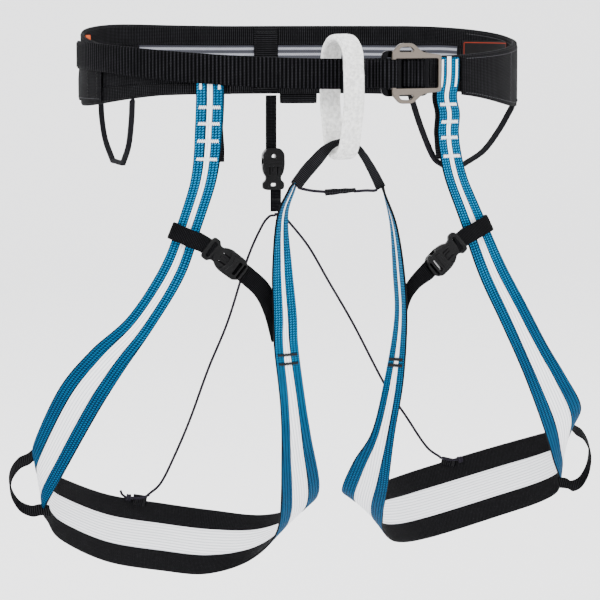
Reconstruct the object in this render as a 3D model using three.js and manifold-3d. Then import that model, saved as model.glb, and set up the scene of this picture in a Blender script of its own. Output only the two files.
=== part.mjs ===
// Light ski-mountaineering harness: laminated waist band, threaded front buckle, belay loop,
// two split-webbing leg loops with side-release clips, elevator cords and gear loops.
// Millimetres, +Z up. The origin is the middle of the waist ring, and the front faces -Y.
import * as THREE from 'three';
import { mergeVertices } from 'three/addons/utils/BufferGeometryUtils.js';
import Module from 'manifold-3d';

const wasm = await Module();
wasm.setup();

// ---- driving dimensions ----------------------------------------------------------------
const RING_X = 152;              // waist ring, half width to the middle of the band
const RING_Y = 105;              // waist ring, half depth to the middle of the band
const BAND_HALF = 1.0;           // half the thickness of the laminated band
const BORDER_SHARE = 0.287;      // share of the band's height in each plain border
const WEBBING = 20;              // structural webbing width
const PLY = 1.6;                 // thickness of one ply of structural webbing
const LEG_PLY = 1.8;             // thickness of the leg loop webbing
const PANEL_PLY = 1.2;           // thickness of the leg loop's stretch panel
const LEG_GAP = 0.7;             // between the leg loop's webbing and its panel
const GAP = 0.3;                 // clearance between neighbouring pieces
const RISER_SKIN = [1.7, 3.4];   // risers lie on the outside of the band
const TAIL_SKIN = [4.0, 5.6];    // the strap's tail lies outside the risers
const SWING_Z = -61;             // height where the stiff riser ends and the leg loop swings
const LOOP_WIDTH = 15;           // belay loop
const LOOP_PLY = 5;
const LOOP_DEPTH = 30.3;         // between the middles of its two strands
const LOOP_TOP = 23;
const LOOP_BOTTOM = -60;
const LOOP_YAW = THREE.MathUtils.degToRad(13.5);
const LOOP_CENTRE = new THREE.Vector3(0, -106.8, 0);
const THIGH_PLY = 1.3;
const SLEEVE_WIDTH = 8;          // abrasion sleeves on the tie-in straps
const CORD_DIAMETER = 2;         // elevator and bridge cord
const GEAR_WIDTH = 4;            // gear loops, across their plane
const GEAR_PLY = 3;              // gear loops, in their plane

const { lerp, smoothstep, degToRad } = THREE.MathUtils;
const vec = (x, y, z) => new THREE.Vector3(x, y, z);

// ---- finishes --------------------------------------------------------------------------
const finish = (color, roughness, metalness = 0) =>
  new THREE.MeshStandardMaterial({ color, roughness, metalness });
const BLACK_WEBBING = finish(0x131316, 0.85);
const RIBBED_WEBBING = finish(0x0e0e10, 0.8);
const BLUE_WEBBING = finish(0x1187c4, 0.75);
const WHITE_ELASTIC = finish(0xf0f0f2, 0.85);
const WHITE_DYNEEMA = finish(0xf4f4ee, 0.7);
const REFLECTIVE = finish(0x9fa3b4, 0.5);
const BUCKLE_METAL = finish(0x8d8279, 0.4, 0.9);
const BLACK_METAL = finish(0x1a1a1c, 0.35, 0.7);
const CLIP_PLASTIC = finish(0x121215, 0.3);
const CORD = finish(0x242229, 0.8);
const LABEL = finish(0x1c1413, 0.9);
const ORANGE_LABEL = finish(0xd8551a, 0.8);

const harness = new THREE.Group();
function add(name, geometry, material, parent = harness) {
  const mesh = new THREE.Mesh(geometry, material);
  mesh.name = name;
  parent.add(mesh);
  return mesh;
}

// ---- webbing: closed strips between two edges --------------------------------------------
// Turns two edge functions into one that also gives the normal (travel x width, outward).
function pairOf(edgeA, edgeB) {
  const step = 1e-3;
  const middle = (t) => edgeA(t).add(edgeB(t)).multiplyScalar(0.5);
  return (t) => {
    const a = edgeA(t);
    const b = edgeB(t);
    const travel = middle(Math.min(t + step, 1)).sub(middle(Math.max(t - step, 0)));
    const n = travel.cross(b.clone().sub(a)).normalize();
    return { a, b, n };
  };
}

// share(t, width) gives the part of the width the strip covers; skin its two faces.
function strip(pair, { from = 0, to = 1, share = () => [0, 1], skin, steps }) {
  const geometry = new THREE.BoxGeometry(1, 1, 1, steps, 1, 1);
  const position = geometry.attributes.position;
  for (let i = 0; i < position.count; i++) {
    const t = lerp(from, to, position.getX(i) + 0.5);
    const { a, b, n } = pair(t);
    const [low, high] = share(t, a.distanceTo(b));
    const across = lerp(low, high, position.getY(i) + 0.5);
    const depth = lerp(skin[0], skin[1], position.getZ(i) + 0.5);
    const point = a.clone().lerp(b, across).addScaledVector(n, depth);
    position.setXYZ(i, point.x, point.y, point.z);
  }
  return geometry;
}

// A pair of edges swept along a list of points, with the same width vector everywhere.
function sweptPair(points, width) {
  const at = (t) => {
    const place = t * (points.length - 1);
    const index = Math.min(Math.floor(place + 1e-9), points.length - 2);
    return points[index].clone().lerp(points[index + 1], place - index);
  };
  const half = width.clone().multiplyScalar(0.5);
  const last = points.length - 1;
  return (t) => {
    const index = Math.round(t * last);
    const travel = points[Math.min(index + 1, last)].clone().sub(points[Math.max(index - 1, 0)]);
    const n = travel.cross(width).normalize();
    return { a: at(t).sub(half), b: at(t).add(half), n };
  };
}

function sweptStrip(points, width, skin) {
  return strip(sweptPair(points, width), { skin, steps: points.length - 1 });
}

const smooth = (points, steps) => new THREE.CatmullRomCurve3(points, false, 'catmullrom').getPoints(steps);

function circle(radius, sides) {
  const outline = [];
  for (let i = 0; i < sides; i++) {
    const angle = (2 * Math.PI * i) / sides;
    outline.push(new THREE.Vector2(radius * Math.cos(angle), radius * Math.sin(angle)));
  }
  return new THREE.Shape(outline);
}

function tube(points, diameter, steps) {
  const path = new THREE.CatmullRomCurve3(points, false, 'catmullrom');
  const section = circle(diameter / 2, 8);
  return new THREE.ExtrudeGeometry(section, { steps, extrudePath: path, bevelEnabled: false });
}

// ---- solids: joining and cutting ---------------------------------------------------------
function toSolid(geometry) {
  const bare = geometry.clone();
  bare.deleteAttribute('normal');
  bare.deleteAttribute('uv');
  const merged = mergeVertices(bare, 1e-4);
  return new wasm.Manifold(new wasm.Mesh({
    numProp: 3,
    vertProperties: new Float32Array(merged.attributes.position.array),
    triVerts: new Uint32Array(merged.index.array),
  }));
}

function toGeometry(solid) {
  const mesh = solid.getMesh();
  const geometry = new THREE.BufferGeometry();
  geometry.setAttribute('position', new THREE.BufferAttribute(mesh.vertProperties, 3));
  geometry.setIndex(new THREE.BufferAttribute(mesh.triVerts, 1));
  return geometry;
}

function block(width, height, depth, x = 0, y = 0, z = 0) {
  return new THREE.BoxGeometry(width, height, depth).translate(x, y, z);
}

function cut(body, ...tools) {
  return toGeometry(tools.reduce((solid, tool) => solid.subtract(toSolid(tool)), toSolid(body)));
}

function plate(outline, depth, z, holes = []) {
  const shape = new THREE.Shape(outline.map(([x, y]) => new THREE.Vector2(x, y)));
  shape.holes = holes.map((hole) => new THREE.Path(hole.map(([x, y]) => new THREE.Vector2(x, y))));
  return new THREE.ExtrudeGeometry(shape, { depth, bevelEnabled: false }).translate(0, 0, z);
}

const rectangle = (x0, y0, x1, y1, corner = 0) => (corner === 0
  ? [[x0, y0], [x1, y0], [x1, y1], [x0, y1]]
  : [[x0 + corner, y0], [x1 - corner, y0], [x1, y0 + corner], [x1, y1 - corner],
    [x1 - corner, y1], [x0 + corner, y1], [x0, y1 - corner], [x0, y0 + corner]]);

// ---- the waist ring ------------------------------------------------------------------------
// turn is the angle round the ring in degrees: 0 at the front, 90 at the left hip, 180 behind.
function ringPoint(turn, z, lift = 0) {
  const angle = degToRad(turn);
  const out = vec(-Math.sin(angle) / RING_X, -Math.cos(angle) / RING_Y, 0).normalize();
  return vec(-RING_X * Math.sin(angle), -RING_Y * Math.cos(angle), z).addScaledVector(out, lift);
}
const turnAtX = (x) => -THREE.MathUtils.radToDeg(Math.asin(x / RING_X));
const fromBack = (turn) => Math.abs(((turn + 360) % 360) - 180);
const bandTop = (turn) => 26.3 - 18.3 * smoothstep(fromBack(turn), 40, 156)
  + 2.3 * smoothstep(turn, 60, 105) * (1 - smoothstep(turn, 118, 175));
const bandBottom = (turn) => -23 - 3.6 * Math.sin(Math.PI * smoothstep(fromBack(turn), 20, 150))
  + 6.5 * smoothstep(fromBack(turn), 92, 142);

function ringPair(startTurn, endTurn, top, bottom) {
  const turnAt = (t) => lerp(startTurn, endTurn, t);
  const high = (t) => ringPoint(turnAt(t), top(turnAt(t)));
  const low = (t) => ringPoint(turnAt(t), bottom(turnAt(t)));
  return pairOf(high, low);
}

const BAND_START = turnAtX(-72);
const BAND_END = 360 + turnAtX(47);
const PANEL_START = 139;
const PANEL_END = 241.5;
const band = ringPair(BAND_START, BAND_END, bandTop, bandBottom);
const bandPlace = (turn) => (turn - BAND_START) / (BAND_END - BAND_START);
const bandSkin = [-BAND_HALF, BAND_HALF];
const middleShare = (t, width) => [BORDER_SHARE + GAP / width, 1 - BORDER_SHARE - GAP / width];

function addBand() {
  const upperBorder = strip(band, { share: () => [0, BORDER_SHARE], skin: bandSkin, steps: 54 });
  add('waist_band_upper', upperBorder, BLACK_WEBBING);
  add('waist_band_lower', strip(band, { share: () => [1 - BORDER_SHARE, 1], skin: bandSkin, steps: 54 }),
    BLACK_WEBBING);
  const gapTurn = 0.2;
  const pieces = [
    ['waist_band_side_panel_left', BAND_START, PANEL_START - gapTurn, BLACK_WEBBING, 18],
    ['waist_band_reflective_panel', PANEL_START, PANEL_END, REFLECTIVE, 16],
    ['waist_band_side_panel_right', PANEL_END + gapTurn, BAND_END, BLACK_WEBBING, 18],
  ];
  for (const [name, start, end, material, steps] of pieces) {
    const range = { from: bandPlace(start), to: bandPlace(end) };
    add(name, strip(band, { ...range, share: middleShare, skin: bandSkin, steps }), material);
  }
}

// Flat patches sewn on the inside or outside of the band.
function ringPatch(name, [startTurn, endTurn], [top, bottom], skin, steps, material) {
  const pair = ringPair(startTurn, endTurn, top, bottom);
  add(name, strip(pair, { skin, steps }), material);
}

function addBandTrim() {
  const outside = [1.5, 2.9];
  const inside = [-2.0, -1.4];
  const level = (z) => () => z;
  const hipTop = (turn) => bandTop(turn) - 0.8;
  const hipBottom = (turn) => -28.5 + 11 * smoothstep(turn, 290, 332);
  ringPatch('side_cover_left', [72, 116], [level(6), level(-23)], outside, 8, BLACK_WEBBING);
  ringPatch('side_cover_right', [246, 324.5], [hipTop, hipBottom], outside, 14, BLACK_WEBBING);
  ringPatch('size_label', [243, 272], [level(16), level(-8)], inside, 6, LABEL);
  ringPatch('care_label', [103.5, 110.5], [level(21), level(12)], inside, 2, ORANGE_LABEL);
  const patchSize = [18, 1, 46];
  add('rear_centre_patch', block(...patchSize, 2, RING_Y - BAND_HALF - 1.1, 1.5), BLACK_WEBBING);
}

// A webbing loop folded flat against the back of the band.
function addHaulLoop() {
  const x = 27;
  const turn = 180 - THREE.MathUtils.radToDeg(Math.asin(-x / RING_X));
  const inner = 1.9;
  const outer = 5.2;
  const points = [[-4, inner], [-26, inner], [-29.6, (inner + outer) / 2], [-26, outer], [-4, outer]]
    .map(([z, lift]) => ringPoint(turn, z, lift + 0.6));
  const along = ringPoint(turn + 0.5, 0).sub(ringPoint(turn - 0.5, 0)).normalize();
  add('haul_loop', sweptStrip(points, along.multiplyScalar(27), [-0.5, 0.5]), BLACK_WEBBING);
}

// ---- the waist strap and its buckle -----------------------------------------------------------
const strapTop = (turn) => 6.8 + 10.5 * smoothstep(turn, 0, 92);
const strapBottom = (turn) => strapTop(turn) - WEBBING + 1.2 * smoothstep(turn, 10, 92);

function addStraps() {
  const tail = ringPair(turnAtX(20.5), 104, strapTop, strapBottom);
  add('waist_strap_tail', strip(tail, { skin: TAIL_SKIN, steps: 30 }), RIBBED_WEBBING);
  const load = ringPair(turnAtX(46.4), BAND_START - 0.2, strapTop, strapBottom);
  add('waist_strap_load', strip(load, { skin: [-PLY / 2, PLY / 2], steps: 14 }), RIBBED_WEBBING);
}

// The strap turns back round the left bar of the front plate: [x, z] in the buckle's frame.
const STRAP_FOLD = [[-28, 4.1], [-26.8, 7.2], [-25, 11.2], [-21.5, 13.1], [-17, 13.3], [-14.7, 12],
  [-14.2, 9.5],
  [-14.4, 5.4]];

// The buckle lies flat, tangent to the ring. Its frame: x to the wearer's left, y up, z outward.
const BUCKLE_BASE = vec(47.5, -99.4, -3.2);
const BUCKLE_YAW = degToRad(13.8);
const REAR_PLATE_Z = 6.6;
const REAR_PLATE_PLY = 1.8;
const FRONT_PLATE_Z = 9.4;
const FRONT_PLATE_PLY = 2.2;

function buckleFrame() {
  const group = new THREE.Group();
  const across = vec(Math.cos(BUCKLE_YAW), Math.sin(BUCKLE_YAW), 0);
  const up = vec(0, 0, 1);
  const basis = new THREE.Matrix4().makeBasis(across, up, across.clone().cross(up));
  group.applyMatrix4(basis.setPosition(BUCKLE_BASE));
  harness.add(group);
  return group;
}

function frontPlateOutline() {
  const left = -18.7;
  const right = 19.4;
  const half = 12.3;
  const ear = 20.0;
  const upper = [[right, half - 1], [right - 1, half], [5, half + 1.6], [-2.7, ear], [-12.6, ear],
    [left, half + 1.6]];
  const lower = upper.map(([x, y]) => [x, -y]).reverse();
  return [...upper, ...lower].reverse();
}

function earSlot(sign) {
  const outline = [[-13, 14.2], [-3.4, 14.2], [-1.8, 15.2], [-4.6, 17.6], [-11.4, 17.2], [-13, 15.6]];
  const placed = outline.map(([x, y]) => [x, sign * y]);
  return sign > 0 ? placed : placed.reverse();
}

function addBuckle() {
  const frame = buckleFrame();
  const window = rectangle(-15.8, -9.8, 17, 9.8, 0.8);
  add('buckle_front_plate', plate(frontPlateOutline(), FRONT_PLATE_PLY, FRONT_PLATE_Z,
    [window, earSlot(1), earSlot(-1)]), BUCKLE_METAL, frame);
  const rearHoles = [rectangle(-21, -10.6, -13, 10.6, 0.8), rectangle(-9.6, -10.6, 8, 10.6, 2)];
  const rearOutline = rectangle(-24.8, -15.2, 11.6, 15.2, 4.5);
  add('buckle_rear_plate', plate(rearOutline, REAR_PLATE_PLY, REAR_PLATE_Z, rearHoles), BLACK_METAL, frame);
  const fold = smooth(STRAP_FOLD.map(([x, z]) => vec(x, 0, z)), 16);
  add('buckle_strap_fold', sweptStrip(fold, vec(0, -WEBBING + 1.4, 0), [-0.6, 0.6]), RIBBED_WEBBING, frame);
}

// ---- risers: sewn over the band, stiff down to the swing line -------------------------------
// Edge places are [x at the belt, x at the swing line]; outer is the edge away from the middle.
const RISERS = {
  left: { outer: [-92.5, -94], inner: [-75.5, -77.5], top: 5 },
  right: { outer: [86, 89.5], inner: [69, 72.5], top: 7.5 },
};

function riserPair(side, lift) {
  const { outer, inner, top } = RISERS[side];
  const edge = ([beltX, swingX]) => (t) => {
    const z = lerp(top, SWING_Z, t);
    const shift = (swingX - beltX) * smoothstep(t, 0.3, 1);
    return ringPoint(turnAtX(beltX), z, lift).add(vec(shift, 0, 0));
  };
  return side === 'left' ? pairOf(edge(outer), edge(inner)) : pairOf(edge(inner), edge(outer));
}

function addRiser(side) {
  const [face, back] = [RISER_SKIN[1], RISER_SKIN[0]];
  const middle = (face + back) / 2;
  const skin = [back - middle, face - middle];
  add(`riser_${side}`, strip(riserPair(side, middle), { skin, steps: 6 }), BLUE_WEBBING);
  const below = (bandBottom(turnAtX(RISERS[side].inner[0])) - GAP * 2 - RISERS[side].top)
    / (SWING_Z - RISERS[side].top);
  add(`riser_backing_${side}`, strip(riserPair(side, 0.3), {
    from: below, skin: [-0.6, 0.9], steps: 4,
    share: () => (side === 'left' ? [0.05, 1.08] : [-0.08, 0.95]),
  }), BLACK_WEBBING);
}

// ---- belay loop --------------------------------------------------------------------------------
function belayLoopShape(inset) {
  const radius = LOOP_DEPTH / 2 + LOOP_PLY / 2 - inset;
  const top = LOOP_TOP - LOOP_PLY / 2 - LOOP_DEPTH / 2;
  const bottom = LOOP_BOTTOM + LOOP_PLY / 2 + LOOP_DEPTH / 2;
  const path = inset === 0 ? new THREE.Shape() : new THREE.Path();
  path.absarc(0, top, radius, 0, Math.PI, false);
  path.absarc(0, bottom, radius, Math.PI, 2 * Math.PI, false);
  path.closePath();
  return path;
}

function addBelayLoop() {
  const shape = belayLoopShape(0);
  shape.holes = [belayLoopShape(LOOP_PLY)];
  const extrusion = { depth: LOOP_WIDTH, bevelEnabled: false, curveSegments: 10 };
  const geometry = new THREE.ExtrudeGeometry(shape, extrusion);
  geometry.translate(0, 0, -LOOP_WIDTH / 2);
  const depthAxis = vec(-Math.sin(LOOP_YAW), Math.cos(LOOP_YAW), 0);
  const up = vec(0, 0, 1);
  const basis = new THREE.Matrix4().makeBasis(depthAxis, up, depthAxis.clone().cross(up));
  const mesh = add('belay_loop', geometry, WHITE_DYNEEMA);
  mesh.applyMatrix4(basis.setPosition(LOOP_CENTRE));
}

// ---- gear loops: flat in the upright plane through their two ends --------------------------------
// Route points are [share of the way from the first end to the second, height].
const GEAR_LOOPS = {
  left: { ends: [[-130, -54.3], [-130, 54.3]], down: [[0, -22], [0.03, -35], [0.12, -52], [0.3, -65]],
    up: [[0.62, -65], [0.86, -52], [0.97, -38], [1, -27]] },
  right: { ends: [[50, -98.6], [141.5, -38.4]], down: [[0, -18.5], [0.1, -40], [0.22, -60], [0.32, -66.5]],
    up: [[0.52, -66.5], [0.72, -58], [0.88, -44], [1, -30]] },
};

function gearLoopPoints(side) {
  const { ends: [[x0, y0], [x1, y1]], down, up } = GEAR_LOOPS[side];
  const place = ([share, z]) => vec(lerp(x0, x1, share), lerp(y0, y1, share), z);
  const first = smooth(down.map(place), 8);
  const second = smooth(up.map(place), 8);
  const [low, high] = [first.at(-1), second[0]];
  const seat = [0.3, 0.7].map((share) => low.clone().lerp(high, share));
  return { points: [...first, ...seat, ...second], across: vec(y1 - y0, x0 - x1, 0).normalize() };
}

function addGearLoop(side) {
  const { points, across } = gearLoopPoints(side);
  const width = across.multiplyScalar(GEAR_WIDTH);
  add(`gear_loop_${side}`, sweptStrip(points, width, [-GEAR_PLY / 2, GEAR_PLY / 2]), CORD);
}

// ---- leg loops ----------------------------------------------------------------------------------
// Each station is the outer edge, then the inner edge: down the riser, round the thigh, up to
// the tie-in. The outer edge becomes the top edge behind the thigh.
const LEG_ROUTES = {
  left: [
    [[-94, -87, -63], [-77.5, -92.4, -63]], [[-106, -84, -101], [-91, -90, -103]],
    [[-117, -79, -131], [-102, -85, -137]], [[-137, -70, -164], [-121, -75, -172]],
    [[-160, -59, -187], [-138, -62, -201]], [[-179, -46, -213], [-153, -46, -231]],
    [[-191, -20, -250], [-172, -18, -277]], [[-190, -4, -265], [-181, 6, -305]],
    [[-179, 12, -277], [-176, 20, -317]], [[-165, 28, -287], [-163, 40, -334]],
    [[-126, 60, -306], [-126, 67, -356]], [[-84, 77, -317], [-81, 81, -368]],
    [[-44, 82, -325], [-50, 81, -372]], [[-10, 64, -327], [-27, 58, -361]],
    [[10, 26, -314], [-16, 26, -341]], [[13, -4, -297], [-16, -4, -318]],
    [[-5, -48, -253], [-25, -44, -269]], [[-14, -66, -225], [-32, -68, -229]],
    [[-24, -85, -186], [-42, -90, -186]], [[-27, -92, -163], [-45, -99, -163]],
    [[-32, -98, -130], [-48, -109, -130]], [[-35, -99, -97], [-46, -114, -96]],
    [[-30, -100, -78], [-38, -116, -77]],
  ],
  right: [
    [[89.5, -87, -63], [72.5, -93.4, -63]], [[106, -86, -101], [87, -91, -102]],
    [[123, -81, -134], [103, -86, -141]], [[142, -73, -164], [121, -77, -173]],
    [[162, -59, -193], [140, -62, -204]], [[181, -45, -217], [154, -49, -228]],
    [[199, -28, -240], [172, -27, -258]], [[204, -8, -254], [186, -8, -283]],
    [[203, 16, -264], [201, 18, -307]], [[191, 38, -272], [197, 38, -321]],
    [[162, 64, -285], [168, 68, -338]], [[114, 80, -301], [122, 80, -353]],
    [[78, 60, -306], [90, 58, -351]], [[47, 28, -306], [71, 30, -337]],
    [[30, -2, -299], [62, 2, -318]], [[31, -28, -275], [57, -26, -294]],
    [[37, -52, -251], [52, -58, -253]], [[40, -73, -212], [49, -88, -211]],
    [[42, -90, -168], [45, -108, -168]], [[39, -96, -136], [41, -115, -136]],
    [[36, -99, -104], [35, -117, -104]], [[31, -101, -82], [27, -115, -82]],
  ],
};
const RISER_PANEL_SHARE = 0.26;
const THIGH_PANEL_SHARE = 0.40;
const LEG_STEPS = 66;

function legPair(side) {
  const edge = (index) => {
    const curve = new THREE.CatmullRomCurve3(LEG_ROUTES[side].map((station) => vec(...station[index])),
      false, 'catmullrom');
    return (t) => curve.getPoint(t);
  };
  return side === 'left' ? pairOf(edge(0), edge(1)) : pairOf(edge(1), edge(0));
}

function addLegLoop(side) {
  const pair = legPair(side);
  const webbing = (t) => {
    const wide = smoothstep(t, 0.08, 0.24) * (1 - smoothstep(t, 0.68, 0.84));
    return (1 - lerp(RISER_PANEL_SHARE, THIGH_PANEL_SHARE, wide)) / 2;
  };
  const shares = {
    first: (t) => [0, webbing(t)],
    second: (t) => [1 - webbing(t), 1],
    panel: (t, width) => [webbing(t) + LEG_GAP / width, 1 - webbing(t) - LEG_GAP / width],
  };
  const [outer, inner] = side === 'left' ? ['first', 'second'] : ['second', 'first'];
  const webbingSkin = [-LEG_PLY / 2, LEG_PLY / 2];
  const panelSkin = [-PANEL_PLY / 2, PANEL_PLY / 2];
  const body = (share, skin) => strip(pair, { share, skin, steps: LEG_STEPS });
  add(`leg_webbing_outer_${side}`, body(shares[outer], webbingSkin), BLUE_WEBBING);
  add(`leg_webbing_inner_${side}`, body(shares[inner], webbingSkin), BLUE_WEBBING);
  add(`leg_stretch_panel_${side}`, body(shares.panel, panelSkin), WHITE_ELASTIC);
}

// Abrasion sleeves from the leg loops up into the belay loop.
const TIE_IN_ROUTES = {
  left: [[-32.6, -107, -75], [-21.5, -107, -63.5], [-10.5, -107, -50.8], [0.4, -107, -49]],
  right: [[26.4, -107, -78.2], [19.2, -107, -65], [12.6, -107, -52], [3.7, -107, -49]],
};

function addTieInSleeve(side) {
  const steps = 8;
  const outward = vec(0, -1, 0);
  const points = smooth(TIE_IN_ROUTES[side].map((place) => vec(...place)), steps);
  const pair = (t) => {
    const index = Math.round(t * steps);
    const travel = points[Math.min(index + 1, steps)].clone().sub(points[Math.max(index - 1, 0)]);
    const half = outward.clone().cross(travel).normalize().multiplyScalar(SLEEVE_WIDTH / 2);
    return { a: points[index].clone().sub(half), b: points[index].clone().add(half), n: outward };
  };
  add(`tie_in_sleeve_${side}`, strip(pair, { skin: [-1.6, 1.6], steps }), BLACK_WEBBING);
}

// The thin cord that ties the two leg loops together under the belay loop.
const BRIDGE = { left: [[-27.5, -107.5, -78.5], [-20, -108, -80], [-12.4, -108.3, -80.8]],
  right: [[21.6, -107.6, -80.6], [16, -108, -80.4], [9.4, -108.3, -80.8]] };

function addBridgeCord(side) {
  add(`bridge_cord_${side}`, tube(BRIDGE[side].map((place) => vec(...place)), CORD_DIAMETER, 6), CORD);
}

function addBridgeSleeve() {
  add('bridge_cord_sleeve', tube([vec(-12, -108.3, -80.8), vec(9, -108.3, -80.8)], 5.6, 2), BLACK_WEBBING);
}

// ---- side-release clips ---------------------------------------------------------------------------
// Clip frame: x from the plug to the socket, y across, z out of the front face.
const CLIP_PLY = 6.6;
const PLUG_PLY = 3.4;
const PRONG_PLY = 2.2;

function plugGeometry() {
  const outline = [[-15.5, -5], [-13.5, -8], [-10, -8], [-8, -5.6], [-4.5, -5.6], [-4.5, -1.8], [6, -1.8],
    [7, -1], [7, 1], [6, 1.8], [-4.5, 1.8], [-4.5, 5.6], [-8, 5.6], [-10, 8], [-13.5, 8], [-15.5, 5]];
  return plate(outline, PLUG_PLY, -PLUG_PLY / 2, [rectangle(-12.9, -5.4, -10.6, 5.4)]);
}

function prongGeometry(sign) {
  const outline = [[-4.1, 3.7], [4, 3.7], [5.2, 5.2], [2.8, 7.8], [-0.6, 7.5], [-4.1, 5.4]];
  const placed = outline.map(([x, y]) => [x, sign * y]);
  return plate(sign > 0 ? placed : placed.reverse(), PRONG_PLY, -PRONG_PLY / 2);
}

function socketGeometry() {
  const outline = [[-2.4, -7], [3, -8.2], [11, -8], [14.5, -5.6], [15.5, -3],
    [15.5, 3], [14.5, 5.6], [11, 8], [3, 8.2], [-2.4, 7]];
  const windows = [rectangle(9.4, -6, 11.2, 6), rectangle(12.6, -5, 13.8, 5)];
  const body = plate(outline, CLIP_PLY, -CLIP_PLY / 2, windows);
  return cut(body, block(12, 20, PLUG_PLY + 1.4, 1.5, 0, 0));
}

const CLIPS = {
  left: { centre: vec(-77.5, -99, -125), axis: vec(22.5, -3, -17.5), face: vec(-0.15, -1, 0) },
  right: { centre: vec(74.5, -99.3, -125.5), axis: vec(-19, -3, -17.5), face: vec(0.15, -1, 0) },
  rear: { centre: vec(7.5, 104, -78), axis: vec(0, 0, 1), face: vec(0, -1, 0) },
};

function addClip(side) {
  const { centre, axis, face } = CLIPS[side];
  const along = axis.clone().normalize();
  const across = face.clone().cross(along).normalize();
  const basis = new THREE.Matrix4().makeBasis(along, across, along.clone().cross(across));
  const frame = new THREE.Group();
  frame.applyMatrix4(basis.setPosition(centre));
  harness.add(frame);
  add(`clip_plug_${side}`, plugGeometry(), CLIP_PLASTIC, frame);
  add(`clip_prong_${side}_a`, prongGeometry(1), CLIP_PLASTIC, frame);
  add(`clip_prong_${side}_b`, prongGeometry(-1), CLIP_PLASTIC, frame);
  add(`clip_socket_${side}`, socketGeometry(), CLIP_PLASTIC, frame);
}

// The keeper goes round the riser and holds the clip's plug.
const KEEPERS = {
  left: [[-91.4, -96.6, -114.6], [-97, -94, -112.2], [-107, -88.8, -107.6], [-110.6, -84.6, -106],
    [-107.5, -79.4, -107], [-97, -83.2, -111.4], [-91.8, -86.6, -113.8]],
  right: [[88.4, -97.2, -114.2], [92.5, -95.6, -112.2], [105, -90.8, -106.8], [110, -87, -105],
    [107.4, -81.4, -105.4], [95, -84.2, -110.8], [88.8, -86.8, -113.4]],
};
const KEEPER_WIDTH = { left: vec(-4.4, 0, -10.6), right: vec(5, 0, -10.4) };

function addKeeper(side) {
  const points = smooth(KEEPERS[side].map((place) => vec(...place)), 18);
  const width = KEEPER_WIDTH[side].clone().multiplyScalar(side === 'left' ? -1 : 1);
  add(`thigh_keeper_${side}`, sweptStrip(points, width, [-THIGH_PLY / 2, THIGH_PLY / 2]), BLACK_WEBBING);
}

// The thigh strap runs from the socket to the back of the inner webbing: upper, then lower edge.
const THIGH_STRAPS = {
  left: [[[-60.2, -100.8, -130.2], [-67.8, -100.8, -139.8]], [[-48, -99, -141.5], [-57, -99, -150]],
    [[-38.5, -91, -158], [-50, -96, -163]], [[-32, -82, -179], [-43, -87.5, -182]]],
  right: [[[57.6, -101.2, -131], [65, -101.2, -140.6]], [[49, -98, -142], [58, -97, -150]],
    [[45, -91, -156], [52, -101, -162]], [[45, -88, -180], [51, -98.5, -184]]],
};

function addThighStrap(side) {
  const edge = (index) => {
    const curve = new THREE.CatmullRomCurve3(THIGH_STRAPS[side].map((station) => vec(...station[index])),
      false, 'catmullrom');
    return (t) => curve.getPoint(t);
  };
  const pair = side === 'left' ? pairOf(edge(0), edge(1)) : pairOf(edge(1), edge(0));
  const strap = strip(pair, { skin: [-THIGH_PLY / 2, THIGH_PLY / 2], steps: 10 });
  add(`thigh_strap_${side}`, strap, BLACK_WEBBING);
}

// Small webbing loops sewn to the outer corners of the leg loops.
const LEG_TABS = {
  left: [[-192.6, 0, -268], [-199, 4, -272], [-204, 8, -281], [-203.6, 10, -292], [-198, 10, -302],
    [-190, 8, -306], [-183.6, 6, -305]],
  right: [[206.6, 2, -264], [214, 5, -269], [220, 8, -280], [219.4, 9, -293], [214, 9, -303],
    [207, 8, -306], [202.8, 8, -304]],
};
const LEG_TAB_WIDTH = vec(0, 5, 7);

function addLegTab(side) {
  const points = smooth(LEG_TABS[side].map((place) => vec(...place)), 14);
  const width = LEG_TAB_WIDTH.clone().multiplyScalar(side === 'left' ? 1 : -1);
  add(`leg_tab_${side}`, sweptStrip(points, width, [-0.6, 0.6]), BLACK_WEBBING);
}

// ---- elevator: rear strap, clip and the two cords down to the leg loops -----------------------------
const ELEVATOR = {
  left: [[9.1, 103, -111.6], [4, 103, -113], [-2, 103, -121], [-13, 101, -144], [-29, 95, -188],
    [-45, 90, -222], [-60, 85, -258], [-73, 80, -284], [-84, 75, -302], [-94, 69.5, -309]],
  right: [[10, 103, -111.6], [15, 103, -113], [20, 103, -118], [34, 101, -136], [48, 98, -161],
    [66, 94, -193], [88, 88, -237], [104, 84, -262], [118, 79, -284], [127, 75.5, -291]],
};
const CORD_ANCHORS = {
  left: { centre: [-101.5, 66.5, -312.5], size: [11, 1.4, 8], yaw: 19, roll: 13 },
  right: { centre: [134, 74, -293.6], size: [11, 1.4, 6], yaw: -17, roll: 12 },
};
const CORD_KNOTS = { left: [-110.4, 63.4, -309.4], right: [142.6, 68, -290.6] };

function addElevator() {
  const strapY = 104;
  const upper = block(8, 1.4, 38.2, 6, strapY, -43.2);
  const lower = block(8, 1.4, 15.4, 9.5, strapY, -101.6);
  add('elevator_strap_upper', upper, BLACK_WEBBING);
  add('elevator_strap_lower', lower, BLACK_WEBBING);
}

function addElevatorCord(side) {
  add(`elevator_cord_${side}`, tube(ELEVATOR[side].map((place) => vec(...place)), CORD_DIAMETER, 34), CORD);
  const { centre, size, yaw, roll } = CORD_ANCHORS[side];
  const anchor = block(...size).rotateY(degToRad(roll)).rotateZ(degToRad(yaw)).translate(...centre);
  add(`cord_anchor_${side}`, anchor, BLACK_WEBBING);
  const knot = new THREE.IcosahedronGeometry(2.1, 1).scale(1.3, 1, 1).translate(...CORD_KNOTS[side]);
  add(`cord_knot_${side}`, knot, CORD);
}

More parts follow.
